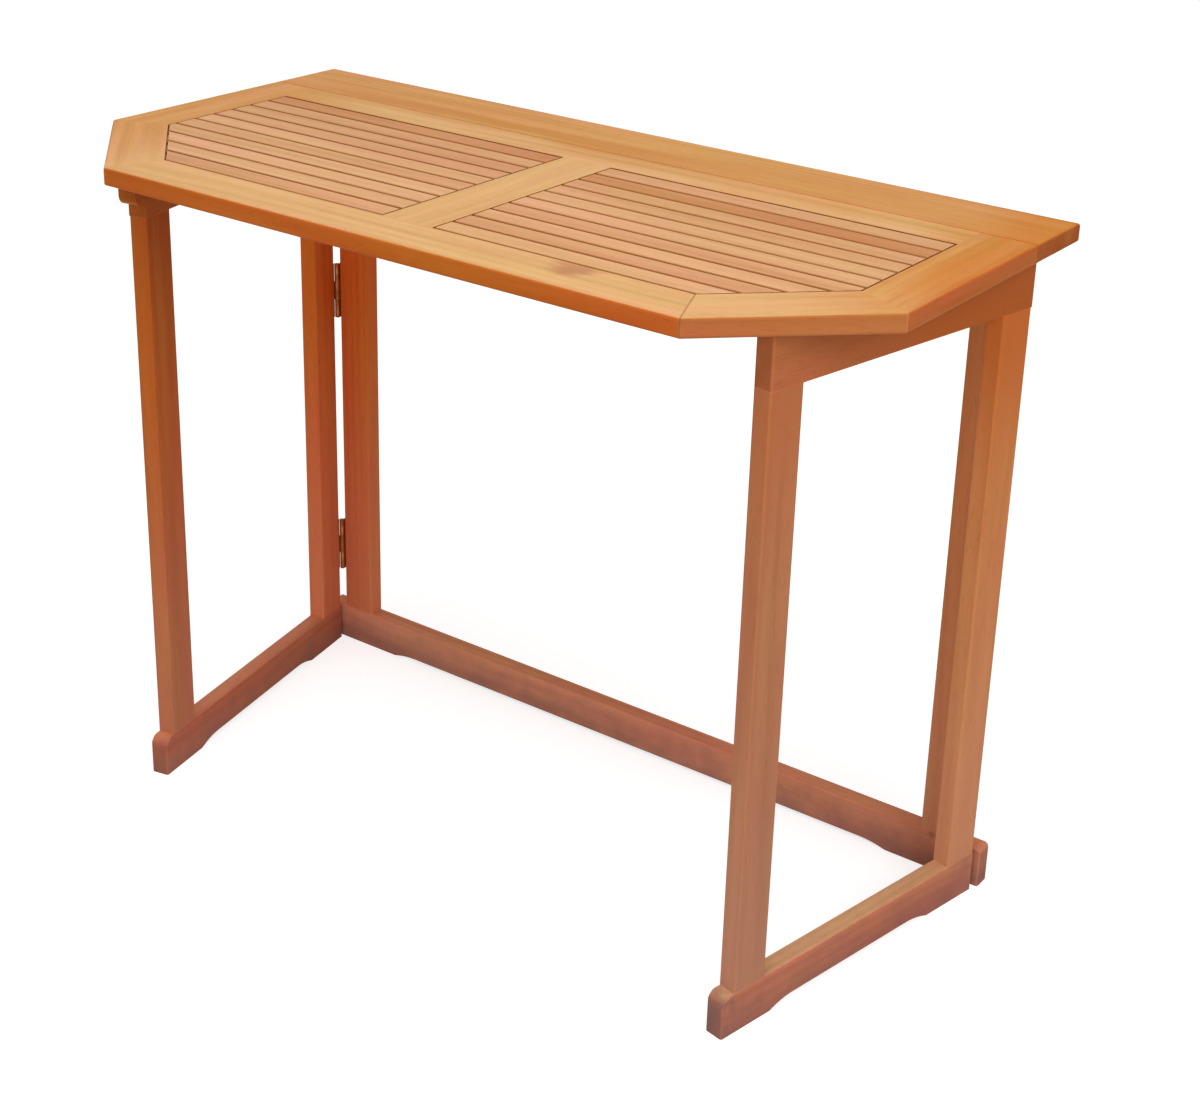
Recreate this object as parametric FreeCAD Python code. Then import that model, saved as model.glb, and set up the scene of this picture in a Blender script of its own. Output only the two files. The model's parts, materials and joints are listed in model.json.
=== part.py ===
"""Folding balcony table: a half-octagon drop leaf on a rear frame with two swinging leg gates.

Frame: X runs along the width, +Y points to the back (the wall side) and +Z up.
The origin lies on the floor under the middle of the top.
The gates are drawn folded flat against the rear frame and then swung out to their open angle.
Pieces are drawn on one side, and the other side's are their mirror images.
"""
import FreeCAD, Part
import math
import os

V = FreeCAD.Vector

# Overall sizes, in millimetres
TOP_WIDTH = 986.0
TOP_DEPTH = 490.0
TABLE_HEIGHT = 750.0
TOP_THICKNESS = 19.5
CORNER_CUT_WIDTH = 141.0
CORNER_CUT_DEPTH = 138.5

# Fixed rear board and the frame of the drop leaf
REAR_BOARD_DEPTH = 94.5
SEAM_GAP = 1.0
LEAF_BACK_RAIL_WIDTH = 48.5
LEAF_RAIL_WIDTH = 59.5
MIDDLE_RAIL_WIDTH = 61.0
TOP_EDGE_ROUND = 3.0
SEAM_EDGE_ROUND = 0.8
SEAM_CHAMFER = 3.5

# Slats and the tongues that hold them in the leaf's frame
SLATS_PER_PANEL = 10
SLAT_GAP = 3.0
SLAT_END_GAP = 2.0
SLAT_THICKNESS = 13.0
SLAT_EDGE_EASE = 1.0
TONGUE_LENGTH = 7.0
TONGUE_THICKNESS = 5.0
TONGUE_SHOULDER = 2.0

# Leg stock, rear frame and gates
STOCK_THICKNESS = 21.5
STOCK_EDGE_ROUND = 2.5
FRAME_SETBACK = 22.0
SIDE_OVERHANG = 43.5
RAIL_STUB = 30.0
FRAME_UPRIGHT_WIDTH = 44.0
BOTTOM_RAIL_HEIGHT = 46.5
TOP_RAIL_HEIGHT = 57.0
FRAME_PAD_LENGTH = 115.0
FRAME_ARCH_RISE = 5.0
GATE_LENGTH = 387.5
GATE_UPRIGHT_WIDTH = 43.0
GATE_OVERHANG = 16.0
GATE_REAR_PAD = 74.0
GATE_FRONT_PAD = 69.0
GATE_ARCH_RISE = 7.0
ARCH_RAMP = 34.0
STUB_ROUND = 9.0
TOE_ROUND = 15.5
HORN_DROP = 15.5
HORN_ROUND = 11.0
GATE_CLEARANCE = 0.5
GATE_OPEN_ANGLE = 78.6

# Joinery
TENON_THICKNESS = 6.0
TENON_SHOULDER = 6.0
TENON_DEPTH = 25.0
JOINT_CLEARANCE = 0.1
JOINT_END_GAP = 1.0
DOWEL_RADIUS = 4.0
DOWEL_LENGTH = 40.0
DOWEL_INSET = 24.0

# Butt hinges: four on the gates, two sunk under the seam of the top
FOLD_GAP = 5.0
HINGE_OFFSET = 2.0
HINGE_LENGTH = 70.0
HINGE_KNUCKLES = 3
HINGE_CENTRES = (136.0, 484.0)
BARREL_RADIUS = 3.0
BARREL_FLAT_COUNT = 12
HINGE_PIN_RADIUS = 1.5
RUNNING_CLEARANCE = 0.05
KNUCKLE_GAP = 0.2
PLATE_THICKNESS = 1.5
PLATE_WIDTH = 15.0
PLATE_STAND_OFF = 0.4
LEAF_HINGE_SPACING = 560.0
SINK_CLEARANCE = 0.4

# Screws
FASTENER_FLAT_COUNT = 8
SCREW_RADIUS = 1.6
SCREW_HEAD_RADIUS = 3.1
SCREW_LENGTH = 16.0
SCREW_SPACING = 40.0
LEAF_SCREW_LENGTH = 12.0
BOARD_SCREW_RADIUS = 2.2
BOARD_SCREW_HEAD_RADIUS = 4.4
BOARD_SCREW_BITE = 12.0
BOARD_SCREW_COUNT = 4
BOARD_SCREW_SPACING = 240.0

# Places that follow from the sizes above
half_width = TOP_WIDTH / 2
y_back = TOP_DEPTH / 2
y_front = -TOP_DEPTH / 2
y_board_front = y_back - REAR_BOARD_DEPTH
y_leaf_back = y_board_front - SEAM_GAP
y_seam = y_board_front - SEAM_GAP / 2
y_panel_back = y_leaf_back - LEAF_BACK_RAIL_WIDTH
y_panel_front = y_front + LEAF_RAIL_WIDTH
x_panel_side = half_width - LEAF_RAIL_WIDTH
x_panel_middle = MIDDLE_RAIL_WIDTH / 2
z_under = TABLE_HEIGHT - TOP_THICKNESS
z_middle = TABLE_HEIGHT - TOP_THICKNESS / 2
z_tongue = TABLE_HEIGHT - SLAT_THICKNESS / 2
y_frame_back = y_back - FRAME_SETBACK
y_frame_front = y_frame_back - STOCK_THICKNESS
x_frame = half_width - SIDE_OVERHANG
x_frame_rail = x_frame + RAIL_STUB
z_gate_top = z_under - GATE_CLEARANCE
hinge_axis = V(-x_frame - HINGE_OFFSET, y_frame_front - FOLD_GAP / 2, 0)
y_gate_inner = hinge_axis.y - FOLD_GAP / 2
y_gate_outer = y_gate_inner - STOCK_THICKNESS
leaf_hinge_axis = V(0, y_seam, z_under + BARREL_RADIUS)

# Corner lines of the top's right half, as distances from the origin along their outward normal
corner_length = math.hypot(CORNER_CUT_WIDTH, CORNER_CUT_DEPTH)
corner_normal = (CORNER_CUT_DEPTH / corner_length, -CORNER_CUT_WIDTH / corner_length)
outer_corner = corner_normal[0] * half_width + corner_normal[1] * (y_front + CORNER_CUT_DEPTH)
inner_corner = outer_corner - LEAF_RAIL_WIDTH

UP = V(0, 0, 1)
ALONG_X = V(1, 0, 0)
ORIGIN = V(0, 0, 0)
TINY = 1e-6


# Shape helpers
def block(x0, x1, y0, y1, z0, z1):
    return Part.makeBox(x1 - x0, y1 - y0, z1 - z0, V(x0, y0, z0))


def prism(outline, z0, z1):
    """Upright prism over a plan outline of (x, y) points."""
    corners = [V(x, y, z0) for x, y in outline]
    wire = Part.makePolygon(corners + corners[:1])
    return Part.Face(wire).extrude(V(0, 0, z1 - z0))


def clip(outline, normal, limit):
    """The part of a convex plan outline where normal . point stays within the limit."""
    kept = []
    for index, here in enumerate(outline):
        before = outline[index - 1]
        depth_here = normal[0] * here[0] + normal[1] * here[1] - limit
        depth_before = normal[0] * before[0] + normal[1] * before[1] - limit
        if (depth_here > 0) != (depth_before > 0):
            share = depth_before / (depth_before - depth_here)
            crossing = [b + share * (h - b) for b, h in zip(before, here)]
            kept.append(tuple(crossing))
        if depth_here <= 0:
            kept.append(here)
    return kept


def edges_where(shape, test):
    """Edges whose ends and middle all pass the test."""
    found = []
    for edge in shape.Edges:
        middle = edge.valueAt((edge.FirstParameter + edge.LastParameter) / 2)
        points = [vertex.Point for vertex in edge.Vertexes] + [middle]
        if all(test(point) for point in points):
            found.append(edge)
    return found


def near(value, target):
    return abs(value - target) < TINY * max(1.0, abs(target)) + TINY


def rounded(shape, radius, test):
    return shape.makeFillet(radius, edges_where(shape, test))


def mirrored(shape):
    return shape.mirror(ORIGIN, ALONG_X)


def opened(shape):
    """Swing a left gate's piece from the folded place to the open one."""
    turned = shape.copy()
    turned.rotate(hinge_axis, UP, -GATE_OPEN_ANGLE)
    return turned


def section(radius, height, flats):
    """Corners of a round section at a height on the Z axis, drawn with a few flats."""
    turns = [2 * math.pi * index / flats for index in range(flats)]
    return [V(radius * math.cos(turn), radius * math.sin(turn), height) for turn in turns]


def polygon_face(corners):
    return Part.Face(Part.makePolygon(corners + corners[:1]))


def round_stock(profile, start, direction, flats):
    """Solid through round sections, given as (height, radius), laid from start along a direction."""
    rings = [section(radius, height, flats) for height, radius in profile]
    faces = [polygon_face(rings[0]), polygon_face(rings[-1])]
    for lower, upper in zip(rings, rings[1:]):
        for index in range(flats):
            faces.append(polygon_face([lower[index - 1], lower[index], upper[index], upper[index - 1]]))
    solid = Part.Solid(Part.Shell(faces))
    solid.Placement = FreeCAD.Placement(start, FreeCAD.Rotation(UP, direction))
    return solid


def screw(head, direction, length, radius, head_radius, slack=0.0):
    """Countersunk screw whose flat head lies at the point head and which drives along direction."""
    sink = head_radius - radius
    profile = [(0.0, head_radius + slack), (sink, radius + slack), (length + slack, radius + slack)]
    return round_stock(profile, head, direction, FASTENER_FLAT_COUNT)


def screws(places, direction, length, radius, head_radius, slack=0.0):
    return [screw(place, direction, length, radius, head_radius, slack) for place in places]


# Tenons: each is a tongue on one piece and a slightly larger mortise in the other
def upright_tenon(x0, x1, y0, y1, z_shoulder, direction, slack=0.0):
    """Tenon of an upright, going up or down from its shoulder."""
    y_middle = (y0 + y1) / 2
    half = TENON_THICKNESS / 2 + slack
    reach = TENON_DEPTH + (JOINT_END_GAP if slack else 0.0)
    ends = sorted((z_shoulder, z_shoulder + direction * reach))
    x_low = x0 + TENON_SHOULDER - slack
    x_high = x1 - TENON_SHOULDER + slack
    return block(x_low, x_high, y_middle - half, y_middle + half, ends[0], ends[1])


def post_blank(x0, x1, y0, y1, z0, z1):
    """Length of post stock with its upright edges rounded."""
    post = block(x0, x1, y0, y1, z0, z1)
    return rounded(post, STOCK_EDGE_ROUND, lambda p: near(abs(p.x - (x0 + x1) / 2), (x1 - x0) / 2) and
                   near(abs(p.y - (y0 + y1) / 2), (y1 - y0) / 2))


def upright(x0, x1, y0, y1, z0, z1):
    """Post with a tenon at each end."""
    post = post_blank(x0, x1, y0, y1, z0, z1)
    return post.fuse([upright_tenon(x0, x1, y0, y1, z0, -1), upright_tenon(x0, x1, y0, y1, z1, 1)])


# Rails of the rear frame and of the gates
def arch_arc(x_pad, x_crown, rise):
    """Arc from the end of a floor pad up to the level crown of the arch."""
    run = x_crown - x_pad
    radius = (run ** 2 + rise ** 2) / (2 * rise)
    z_half = rise - radius + math.sqrt(radius ** 2 - (run / 2) ** 2)
    return Part.Arc(V(x_pad, 0, 0), V(x_pad + run / 2, 0, z_half), V(x_crown, 0, rise))


def corner_arc(centre, radius, start, end):
    """Arc in the XZ plane between two angles in degrees."""
    points = []
    for angle in (start, (start + end) / 2, end):
        turn = math.radians(angle)
        points.append(centre + V(radius * math.cos(turn), 0, radius * math.sin(turn)))
    return Part.Arc(*points)


def outline_face(curves):
    """Face bounded by curves, with straight runs drawn between their ends."""
    edges = []
    for index, curve in enumerate(curves):
        following = curves[(index + 1) % len(curves)]
        edges.append(curve.toShape())
        if curve.EndPoint.distanceToPoint(following.StartPoint) > TINY:
            edges.append(Part.makeLine(curve.EndPoint, following.StartPoint))
    return Part.Face(Part.Wire(edges))


def bottom_rail(x0, x1, y0, pad_start, pad_end, rise, end_round, round_start, posts):
    """Rail that stands on two floor pads, arched between them, with rounded upper ends.

    Its rounded upper edges stop at each post, given by its start and end along X.
    """
    length = x1 - x0
    high = BOTTOM_RAIL_HEIGHT
    curves = [
        arch_arc(pad_start, pad_start + ARCH_RAMP, rise),
        Part.LineSegment(V(pad_start + ARCH_RAMP, 0, rise), V(length - pad_end - ARCH_RAMP, 0, rise)),
    ]
    far_ramp = arch_arc(length - pad_end, length - pad_end - ARCH_RAMP, rise)
    far_ramp.reverse()
    curves.append(far_ramp)
    curves.append(Part.LineSegment(V(length - pad_end, 0, 0), V(length, 0, 0)))
    curves.append(corner_arc(V(length - end_round, 0, high - end_round), end_round, 0, 90))
    if round_start:
        curves.append(corner_arc(V(end_round, 0, high - end_round), end_round, 90, 180))
    else:
        curves.append(Part.LineSegment(V(0, 0, high), V(0, 0, 0)))
    curves.append(Part.LineSegment(V(0, 0, 0), V(pad_start, 0, 0)))

    def eased(p):
        on_face = near(p.y, 0) or near(p.y, STOCK_THICKNESS)
        at_round_end = near(p.x, length) or (round_start and near(p.x, 0))
        return on_face and (near(p.z, high) or at_round_end)

    blank = rounded(block(0, length, 0, STOCK_THICKNESS, 0, high), STOCK_EDGE_ROUND, eased)
    rail = outline_face(curves).extrude(V(0, STOCK_THICKNESS, 0)).common(blank)
    rail.translate(V(x0, y0, 0))
    seats = [post_blank(start, end, y0, y0 + STOCK_THICKNESS, high - STOCK_EDGE_ROUND, high)
             for start, end in posts]
    return rail.fuse(seats).removeSplitter()


def flush_top_rail(x0, y0):
    """Top rail of a gate, whose front end is flush with the front post and rounded as it is."""
    length = GATE_LENGTH - GATE_OVERHANG
    rail = rounded(block(0, length, 0, STOCK_THICKNESS, 0, TOP_RAIL_HEIGHT), STOCK_EDGE_ROUND,
                   lambda p: near(p.x, length) and (near(p.y, 0) or near(p.y, STOCK_THICKNESS)))
    rail.translate(V(x0, y0, z_gate_top - TOP_RAIL_HEIGHT))
    return rail


def horned_top_rail(x0, y0):
    """Top rail of a gate, whose front end stands past the front post as a rounded horn."""
    front_post = GATE_LENGTH - GATE_OVERHANG
    horn = V(GATE_LENGTH - HORN_ROUND, 0, HORN_DROP + HORN_ROUND)
    curves = [
        Part.LineSegment(V(0, 0, 0), V(front_post, 0, 0)),
        Part.LineSegment(V(front_post, 0, HORN_DROP), V(horn.x, 0, HORN_DROP)),
        corner_arc(horn, HORN_ROUND, -90, 0),
        Part.LineSegment(V(GATE_LENGTH, 0, TOP_RAIL_HEIGHT), V(0, 0, TOP_RAIL_HEIGHT)),
    ]
    rail = outline_face(curves).extrude(V(0, STOCK_THICKNESS, 0))
    rail.translate(V(x0, y0, z_gate_top - TOP_RAIL_HEIGHT))
    return rail


# Butt hinges of the gates, drawn open flat on the left edge of the folded gate and frame
def barrel(start, direction, length):
    return round_stock([(0.0, BARREL_RADIUS), (length, BARREL_RADIUS)], start, direction, BARREL_FLAT_COUNT)


def hinge_plate(side, z_low):
    """One leaf of a gate hinge: side is +1 for the frame's leaf and -1 for the gate's."""
    x_face = -x_frame
    near_edge = BARREL_RADIUS + PLATE_STAND_OFF
    ends = sorted((hinge_axis.y + side * near_edge, hinge_axis.y + side * (near_edge + PLATE_WIDTH)))
    plate = block(x_face - PLATE_THICKNESS, x_face, ends[0], ends[1], z_low, z_low + HINGE_LENGTH)
    step = HINGE_LENGTH / HINGE_KNUCKLES
    pieces = []
    for index in range(HINGE_KNUCKLES):
        if (index % 2 == 0) == (side > 0):
            z0 = z_low + index * step + KNUCKLE_GAP / 2
            z1 = z0 + step - KNUCKLE_GAP
            foot = V(hinge_axis.x, hinge_axis.y, z0)
            pieces.append(barrel(foot, UP, z1 - z0))
            web = sorted((hinge_axis.y, hinge_axis.y + side * near_edge))
            pieces.append(block(x_face - PLATE_THICKNESS, x_face, web[0], web[1], z0, z1))
    bore = Part.makeCylinder(HINGE_PIN_RADIUS + RUNNING_CLEARANCE, HINGE_LENGTH,
                             V(hinge_axis.x, hinge_axis.y, z_low), UP)
    holes = screws(hinge_screw_places(side, z_low), ALONG_X, SCREW_LENGTH, SCREW_RADIUS,
                   SCREW_HEAD_RADIUS, RUNNING_CLEARANCE)
    return plate.fuse(pieces).removeSplitter().cut([bore] + holes)


def hinge_screw_places(side, z_low):
    y = hinge_axis.y + side * (BARREL_RADIUS + PLATE_STAND_OFF + PLATE_WIDTH / 2)
    z_centre = z_low + HINGE_LENGTH / 2
    x = -x_frame - PLATE_THICKNESS
    return [V(x, y, z_centre - SCREW_SPACING / 2), V(x, y, z_centre + SCREW_SPACING / 2)]


def hinge_bottoms():
    return [centre - HINGE_LENGTH / 2 for centre in HINGE_CENTRES]


def gate_hinge_screws(side, slack=0.0):
    places = []
    for z_low in hinge_bottoms():
        places += hinge_screw_places(side, z_low)
    return screws(places, ALONG_X, SCREW_LENGTH, SCREW_RADIUS, SCREW_HEAD_RADIUS, slack)


def gate_hinge_pins():
    return [Part.makeCylinder(HINGE_PIN_RADIUS, HINGE_LENGTH, V(hinge_axis.x, hinge_axis.y, z_low), UP)
            for z_low in hinge_bottoms()]


# Drop-leaf hinges, sunk flush into the underside along the seam of the top
def leaf_hinge_starts():
    return [x - HINGE_LENGTH / 2 for x in (-LEAF_HINGE_SPACING / 2, LEAF_HINGE_SPACING / 2)]


def leaf_hinge_rows(side):
    """Near and far edge of a leaf-hinge plate: side is +1 on the rear board and -1 on the leaf."""
    near_edge = BARREL_RADIUS + PLATE_STAND_OFF
    return sorted((y_seam + side * near_edge, y_seam + side * (near_edge + PLATE_WIDTH)))


def leaf_hinge_screw_places(side, x_low):
    y = sum(leaf_hinge_rows(side)) / 2
    x_centre = x_low + HINGE_LENGTH / 2
    return [V(x_centre - SCREW_SPACING / 2, y, z_under), V(x_centre + SCREW_SPACING / 2, y, z_under)]


def leaf_hinge_screws(side, slack=0.0):
    places = []
    for x_low in leaf_hinge_starts():
        places += leaf_hinge_screw_places(side, x_low)
    return screws(places, UP, LEAF_SCREW_LENGTH, SCREW_RADIUS, SCREW_HEAD_RADIUS, slack)


def leaf_hinge_plate(side, x_low):
    rows = leaf_hinge_rows(side)
    plate = block(x_low, x_low + HINGE_LENGTH, rows[0], rows[1], z_under, z_under + PLATE_THICKNESS)
    step = HINGE_LENGTH / HINGE_KNUCKLES
    pieces = []
    for index in range(HINGE_KNUCKLES):
        if (index % 2 == 0) == (side > 0):
            x0 = x_low + index * step + KNUCKLE_GAP / 2
            x1 = x0 + step - KNUCKLE_GAP
            start = V(x0, leaf_hinge_axis.y, leaf_hinge_axis.z)
            pieces.append(barrel(start, ALONG_X, x1 - x0))
            web = sorted((y_seam, y_seam + side * (BARREL_RADIUS + PLATE_STAND_OFF)))
            pieces.append(block(x0, x1, web[0], web[1], z_under, z_under + PLATE_THICKNESS))
    bore = Part.makeCylinder(HINGE_PIN_RADIUS + RUNNING_CLEARANCE, HINGE_LENGTH,
                             V(x_low, leaf_hinge_axis.y, leaf_hinge_axis.z), ALONG_X)
    holes = screws(leaf_hinge_screw_places(side, x_low), UP, LEAF_SCREW_LENGTH, SCREW_RADIUS,
                   SCREW_HEAD_RADIUS, RUNNING_CLEARANCE)
    return plate.fuse(pieces).removeSplitter().cut([bore] + holes)


def leaf_hinge_pins():
    return [Part.makeCylinder(HINGE_PIN_RADIUS, HINGE_LENGTH,
                              V(x_low, leaf_hinge_axis.y, leaf_hinge_axis.z), ALONG_X)
            for x_low in leaf_hinge_starts()]


def leaf_hinge_sinks(side):
    """Recesses for the plates and the barrel in the underside of the board or the leaf."""
    reach = BARREL_RADIUS + SINK_CLEARANCE
    cuts = []
    for x_low in leaf_hinge_starts():
        x0 = x_low - SINK_CLEARANCE
        x1 = x_low + HINGE_LENGTH + SINK_CLEARANCE
        rows = leaf_hinge_rows(side)
        ends = sorted((y_seam, rows[1] + JOINT_CLEARANCE if side > 0 else rows[0] - JOINT_CLEARANCE))
        cuts.append(block(x0, x1, ends[0], ends[1], z_under, z_under + PLATE_THICKNESS))
        cuts.append(block(x0, x1, y_seam - reach, y_seam + reach, z_under, leaf_hinge_axis.z + reach))
    return cuts


# Seam of the top
def seam_side(side):
    """Solid that fills one side of the seam: +1 is the rear board's side and -1 the leaf's.

    Its seam edge is eased above, and chamfered below so that the leaf can hang down.
    """
    def at(inset, z):
        return V(-half_width, y_seam + side * (SEAM_GAP / 2 + inset), z)

    lift = SEAM_EDGE_ROUND * (1 - math.sqrt(0.5))
    curves = [
        Part.Arc(at(SEAM_EDGE_ROUND, TABLE_HEIGHT), at(lift, TABLE_HEIGHT - lift),
                 at(0, TABLE_HEIGHT - SEAM_EDGE_ROUND)),
        Part.LineSegment(at(0, z_under + SEAM_CHAMFER), at(SEAM_CHAMFER, z_under)),
        Part.LineSegment(at(TOP_DEPTH, z_under), at(TOP_DEPTH, TABLE_HEIGHT)),
    ]
    return outline_face(curves).extrude(V(TOP_WIDTH, 0, 0))


# Rear frame
def frame_left_upright():
    post = upright(-x_frame, -x_frame + FRAME_UPRIGHT_WIDTH, y_frame_front, y_frame_back,
                   BOTTOM_RAIL_HEIGHT, z_under - TOP_RAIL_HEIGHT)
    return post.cut(gate_hinge_screws(1, RUNNING_CLEARANCE))


def frame_tenon_pair(z_shoulder, direction):
    left = upright_tenon(-x_frame, -x_frame + FRAME_UPRIGHT_WIDTH, y_frame_front, y_frame_back,
                         z_shoulder, direction, JOINT_CLEARANCE)
    return [left, mirrored(left)]


def frame_bottom_rail():
    posts = ((-x_frame, -x_frame + FRAME_UPRIGHT_WIDTH), (x_frame - FRAME_UPRIGHT_WIDTH, x_frame))
    rail = bottom_rail(-x_frame_rail, x_frame_rail, y_frame_front,
                       FRAME_PAD_LENGTH, FRAME_PAD_LENGTH, FRAME_ARCH_RISE, STUB_ROUND, True, posts)
    return rail.cut(frame_tenon_pair(BOTTOM_RAIL_HEIGHT, -1))


def board_screw_places():
    first = -BOARD_SCREW_SPACING * (BOARD_SCREW_COUNT - 1) / 2
    y = (y_frame_front + y_frame_back) / 2
    return [V(first + index * BOARD_SCREW_SPACING, y, z_under - TOP_RAIL_HEIGHT)
            for index in range(BOARD_SCREW_COUNT)]


def board_screws(slack=0.0):
    return screws(board_screw_places(), UP, TOP_RAIL_HEIGHT + BOARD_SCREW_BITE, BOARD_SCREW_RADIUS,
                  BOARD_SCREW_HEAD_RADIUS, slack)


def frame_top_rail():
    rail = block(-x_frame, x_frame, y_frame_front, y_frame_back, z_under - TOP_RAIL_HEIGHT, z_under)
    cuts = frame_tenon_pair(z_under - TOP_RAIL_HEIGHT, 1) + board_screws(RUNNING_CLEARANCE)
    return rail.cut(cuts)


def rear_board():
    board = block(-half_width, half_width, y_leaf_back, y_back, z_under, TABLE_HEIGHT)

    def outer_edge(p):
        level = near(p.z, z_under) or near(p.z, TABLE_HEIGHT)
        return level and (near(p.y, y_back) or near(abs(p.x), half_width))

    board = rounded(board, TOP_EDGE_ROUND, outer_edge).common(seam_side(1))
    cuts = leaf_hinge_sinks(1) + leaf_hinge_screws(1, RUNNING_CLEARANCE) + board_screws(RUNNING_CLEARANCE)
    return board.cut(cuts)


# Gates, drawn folded on the left
def gate_posts():
    """Start and end along X of the rear and the front post."""
    front = -x_frame + GATE_LENGTH - GATE_OVERHANG
    return ((-x_frame, -x_frame + GATE_UPRIGHT_WIDTH), (front - GATE_UPRIGHT_WIDTH, front))


def gate_mortises(z_shoulder, direction):
    return [upright_tenon(x0, x1, y_gate_outer, y_gate_inner, z_shoulder, direction, JOINT_CLEARANCE)
            for x0, x1 in gate_posts()]


def gate_post(index):
    x0, x1 = gate_posts()[index]
    return upright(x0, x1, y_gate_outer, y_gate_inner, BOTTOM_RAIL_HEIGHT, z_gate_top - TOP_RAIL_HEIGHT)


def gate(top_rail):
    """Pieces of a gate with the given kind of top rail."""
    foot_rail = bottom_rail(-x_frame, -x_frame + GATE_LENGTH, y_gate_outer, GATE_REAR_PAD,
                            GATE_FRONT_PAD, GATE_ARCH_RISE, TOE_ROUND, False, gate_posts())
    head_rail = top_rail(-x_frame, y_gate_outer)
    return {
        "rear_upright": gate_post(0).cut(gate_hinge_screws(-1, RUNNING_CLEARANCE)),
        "front_upright": gate_post(1),
        "bottom_rail": foot_rail.cut(gate_mortises(BOTTOM_RAIL_HEIGHT, -1)),
        "top_rail": head_rail.cut(gate_mortises(z_gate_top - TOP_RAIL_HEIGHT, 1)),
        "hinge_leaves": Part.makeCompound([hinge_plate(-1, z_low) for z_low in hinge_bottoms()]),
        "hinge_screws": Part.makeCompound(gate_hinge_screws(-1)),
    }


# Drop leaf: plan corners on the right half, outside and inside the mitred frame
side_back = (half_width, y_board_front)
side_front = (half_width, y_front + CORNER_CUT_DEPTH)
front_end = (half_width - CORNER_CUT_WIDTH, y_front)
inner_side_front = (x_panel_side, (inner_corner - corner_normal[0] * x_panel_side) / corner_normal[1])
inner_front_end = ((inner_corner - corner_normal[1] * y_panel_front) / corner_normal[0], y_panel_front)


def flipped(point):
    return (-point[0], point[1])


def panel_outline(side_limit, middle_limit, corner_limit, y_low, y_high):
    """Plan of the right panel between two Y lines and the given side, middle and corner lines."""
    outline = [(middle_limit, y_low), (side_limit, y_low), (side_limit, y_high), (middle_limit, y_high)]
    return clip(outline, corner_normal, corner_limit)


def panel_groove():
    """Groove that runs round the right panel in the middle, side and corner rails."""
    depth = TONGUE_LENGTH + JOINT_END_GAP
    outline = panel_outline(x_panel_side + depth, x_panel_middle - depth, inner_corner + depth,
                            y_panel_front + SLAT_GAP, y_panel_back - SLAT_GAP)
    half = TONGUE_THICKNESS / 2 + JOINT_CLEARANCE
    return prism(outline, z_tongue - half, z_tongue + half)


def mitre_dowels(slack=0.0):
    """Two dowels square across each of the four mitres of the leaf."""
    dowels = []
    for inner, outer in ((inner_front_end, front_end), (inner_side_front, side_front)):
        start = V(inner[0], inner[1], z_middle)
        run = V(outer[0], outer[1], z_middle) - start
        along = V(run.x, run.y, 0).normalize()
        across = V(-along.y, along.x, 0)
        for inset in (DOWEL_INSET, run.Length - DOWEL_INSET):
            end = start + along * inset - across * (DOWEL_LENGTH / 2 + slack)
            profile = [(0.0, DOWEL_RADIUS + slack), (DOWEL_LENGTH + 2 * slack, DOWEL_RADIUS + slack)]
            dowels.append(round_stock(profile, end, across, FASTENER_FLAT_COUNT))
    return dowels + [mirrored(dowel) for dowel in dowels]


def lies_on(p, start, end):
    """True where a point's plan lies on the line through two plan points."""
    dx = end[0] - start[0]
    dy = end[1] - start[1]
    return abs((p.x - start[0]) * dy - (p.y - start[1]) * dx) < TINY * math.hypot(dx, dy) * TOP_WIDTH


def leaf_rail(outline):
    """Leaf rail over a plan outline whose first two points are its outer edge."""
    rail = prism(outline, z_under, TABLE_HEIGHT)
    return rounded(rail, TOP_EDGE_ROUND, lambda p: lies_on(p, outline[0], outline[1]) and
                   (near(p.z, z_under) or near(p.z, TABLE_HEIGHT)))


def leaf_tenon(x0, x1, y0, y1, slack=0.0):
    half = TENON_THICKNESS / 2 + slack
    return block(x0 - slack, x1 + slack, y0 - slack, y1 + slack, z_middle - half, z_middle + half)


def back_rail_tenon(slack=0.0):
    """Tenon of the leaf's back rail into the right side rail."""
    reach = TENON_DEPTH + (JOINT_END_GAP if slack else 0.0)
    return leaf_tenon(x_panel_side, x_panel_side + reach, y_panel_back + TENON_SHOULDER,
                      y_leaf_back - TENON_SHOULDER - SEAM_CHAMFER, slack)


def middle_rail_tenons(slack=0.0):
    """Tenons of the middle rail into the back and the front rail."""
    half = x_panel_middle - TONGUE_LENGTH - JOINT_END_GAP - TENON_SHOULDER
    reach = TENON_DEPTH + (JOINT_END_GAP if slack else 0.0)
    return [leaf_tenon(-half, half, y_panel_back, y_panel_back + reach, slack),
            leaf_tenon(-half, half, y_panel_front - reach, y_panel_front, slack)]


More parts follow.
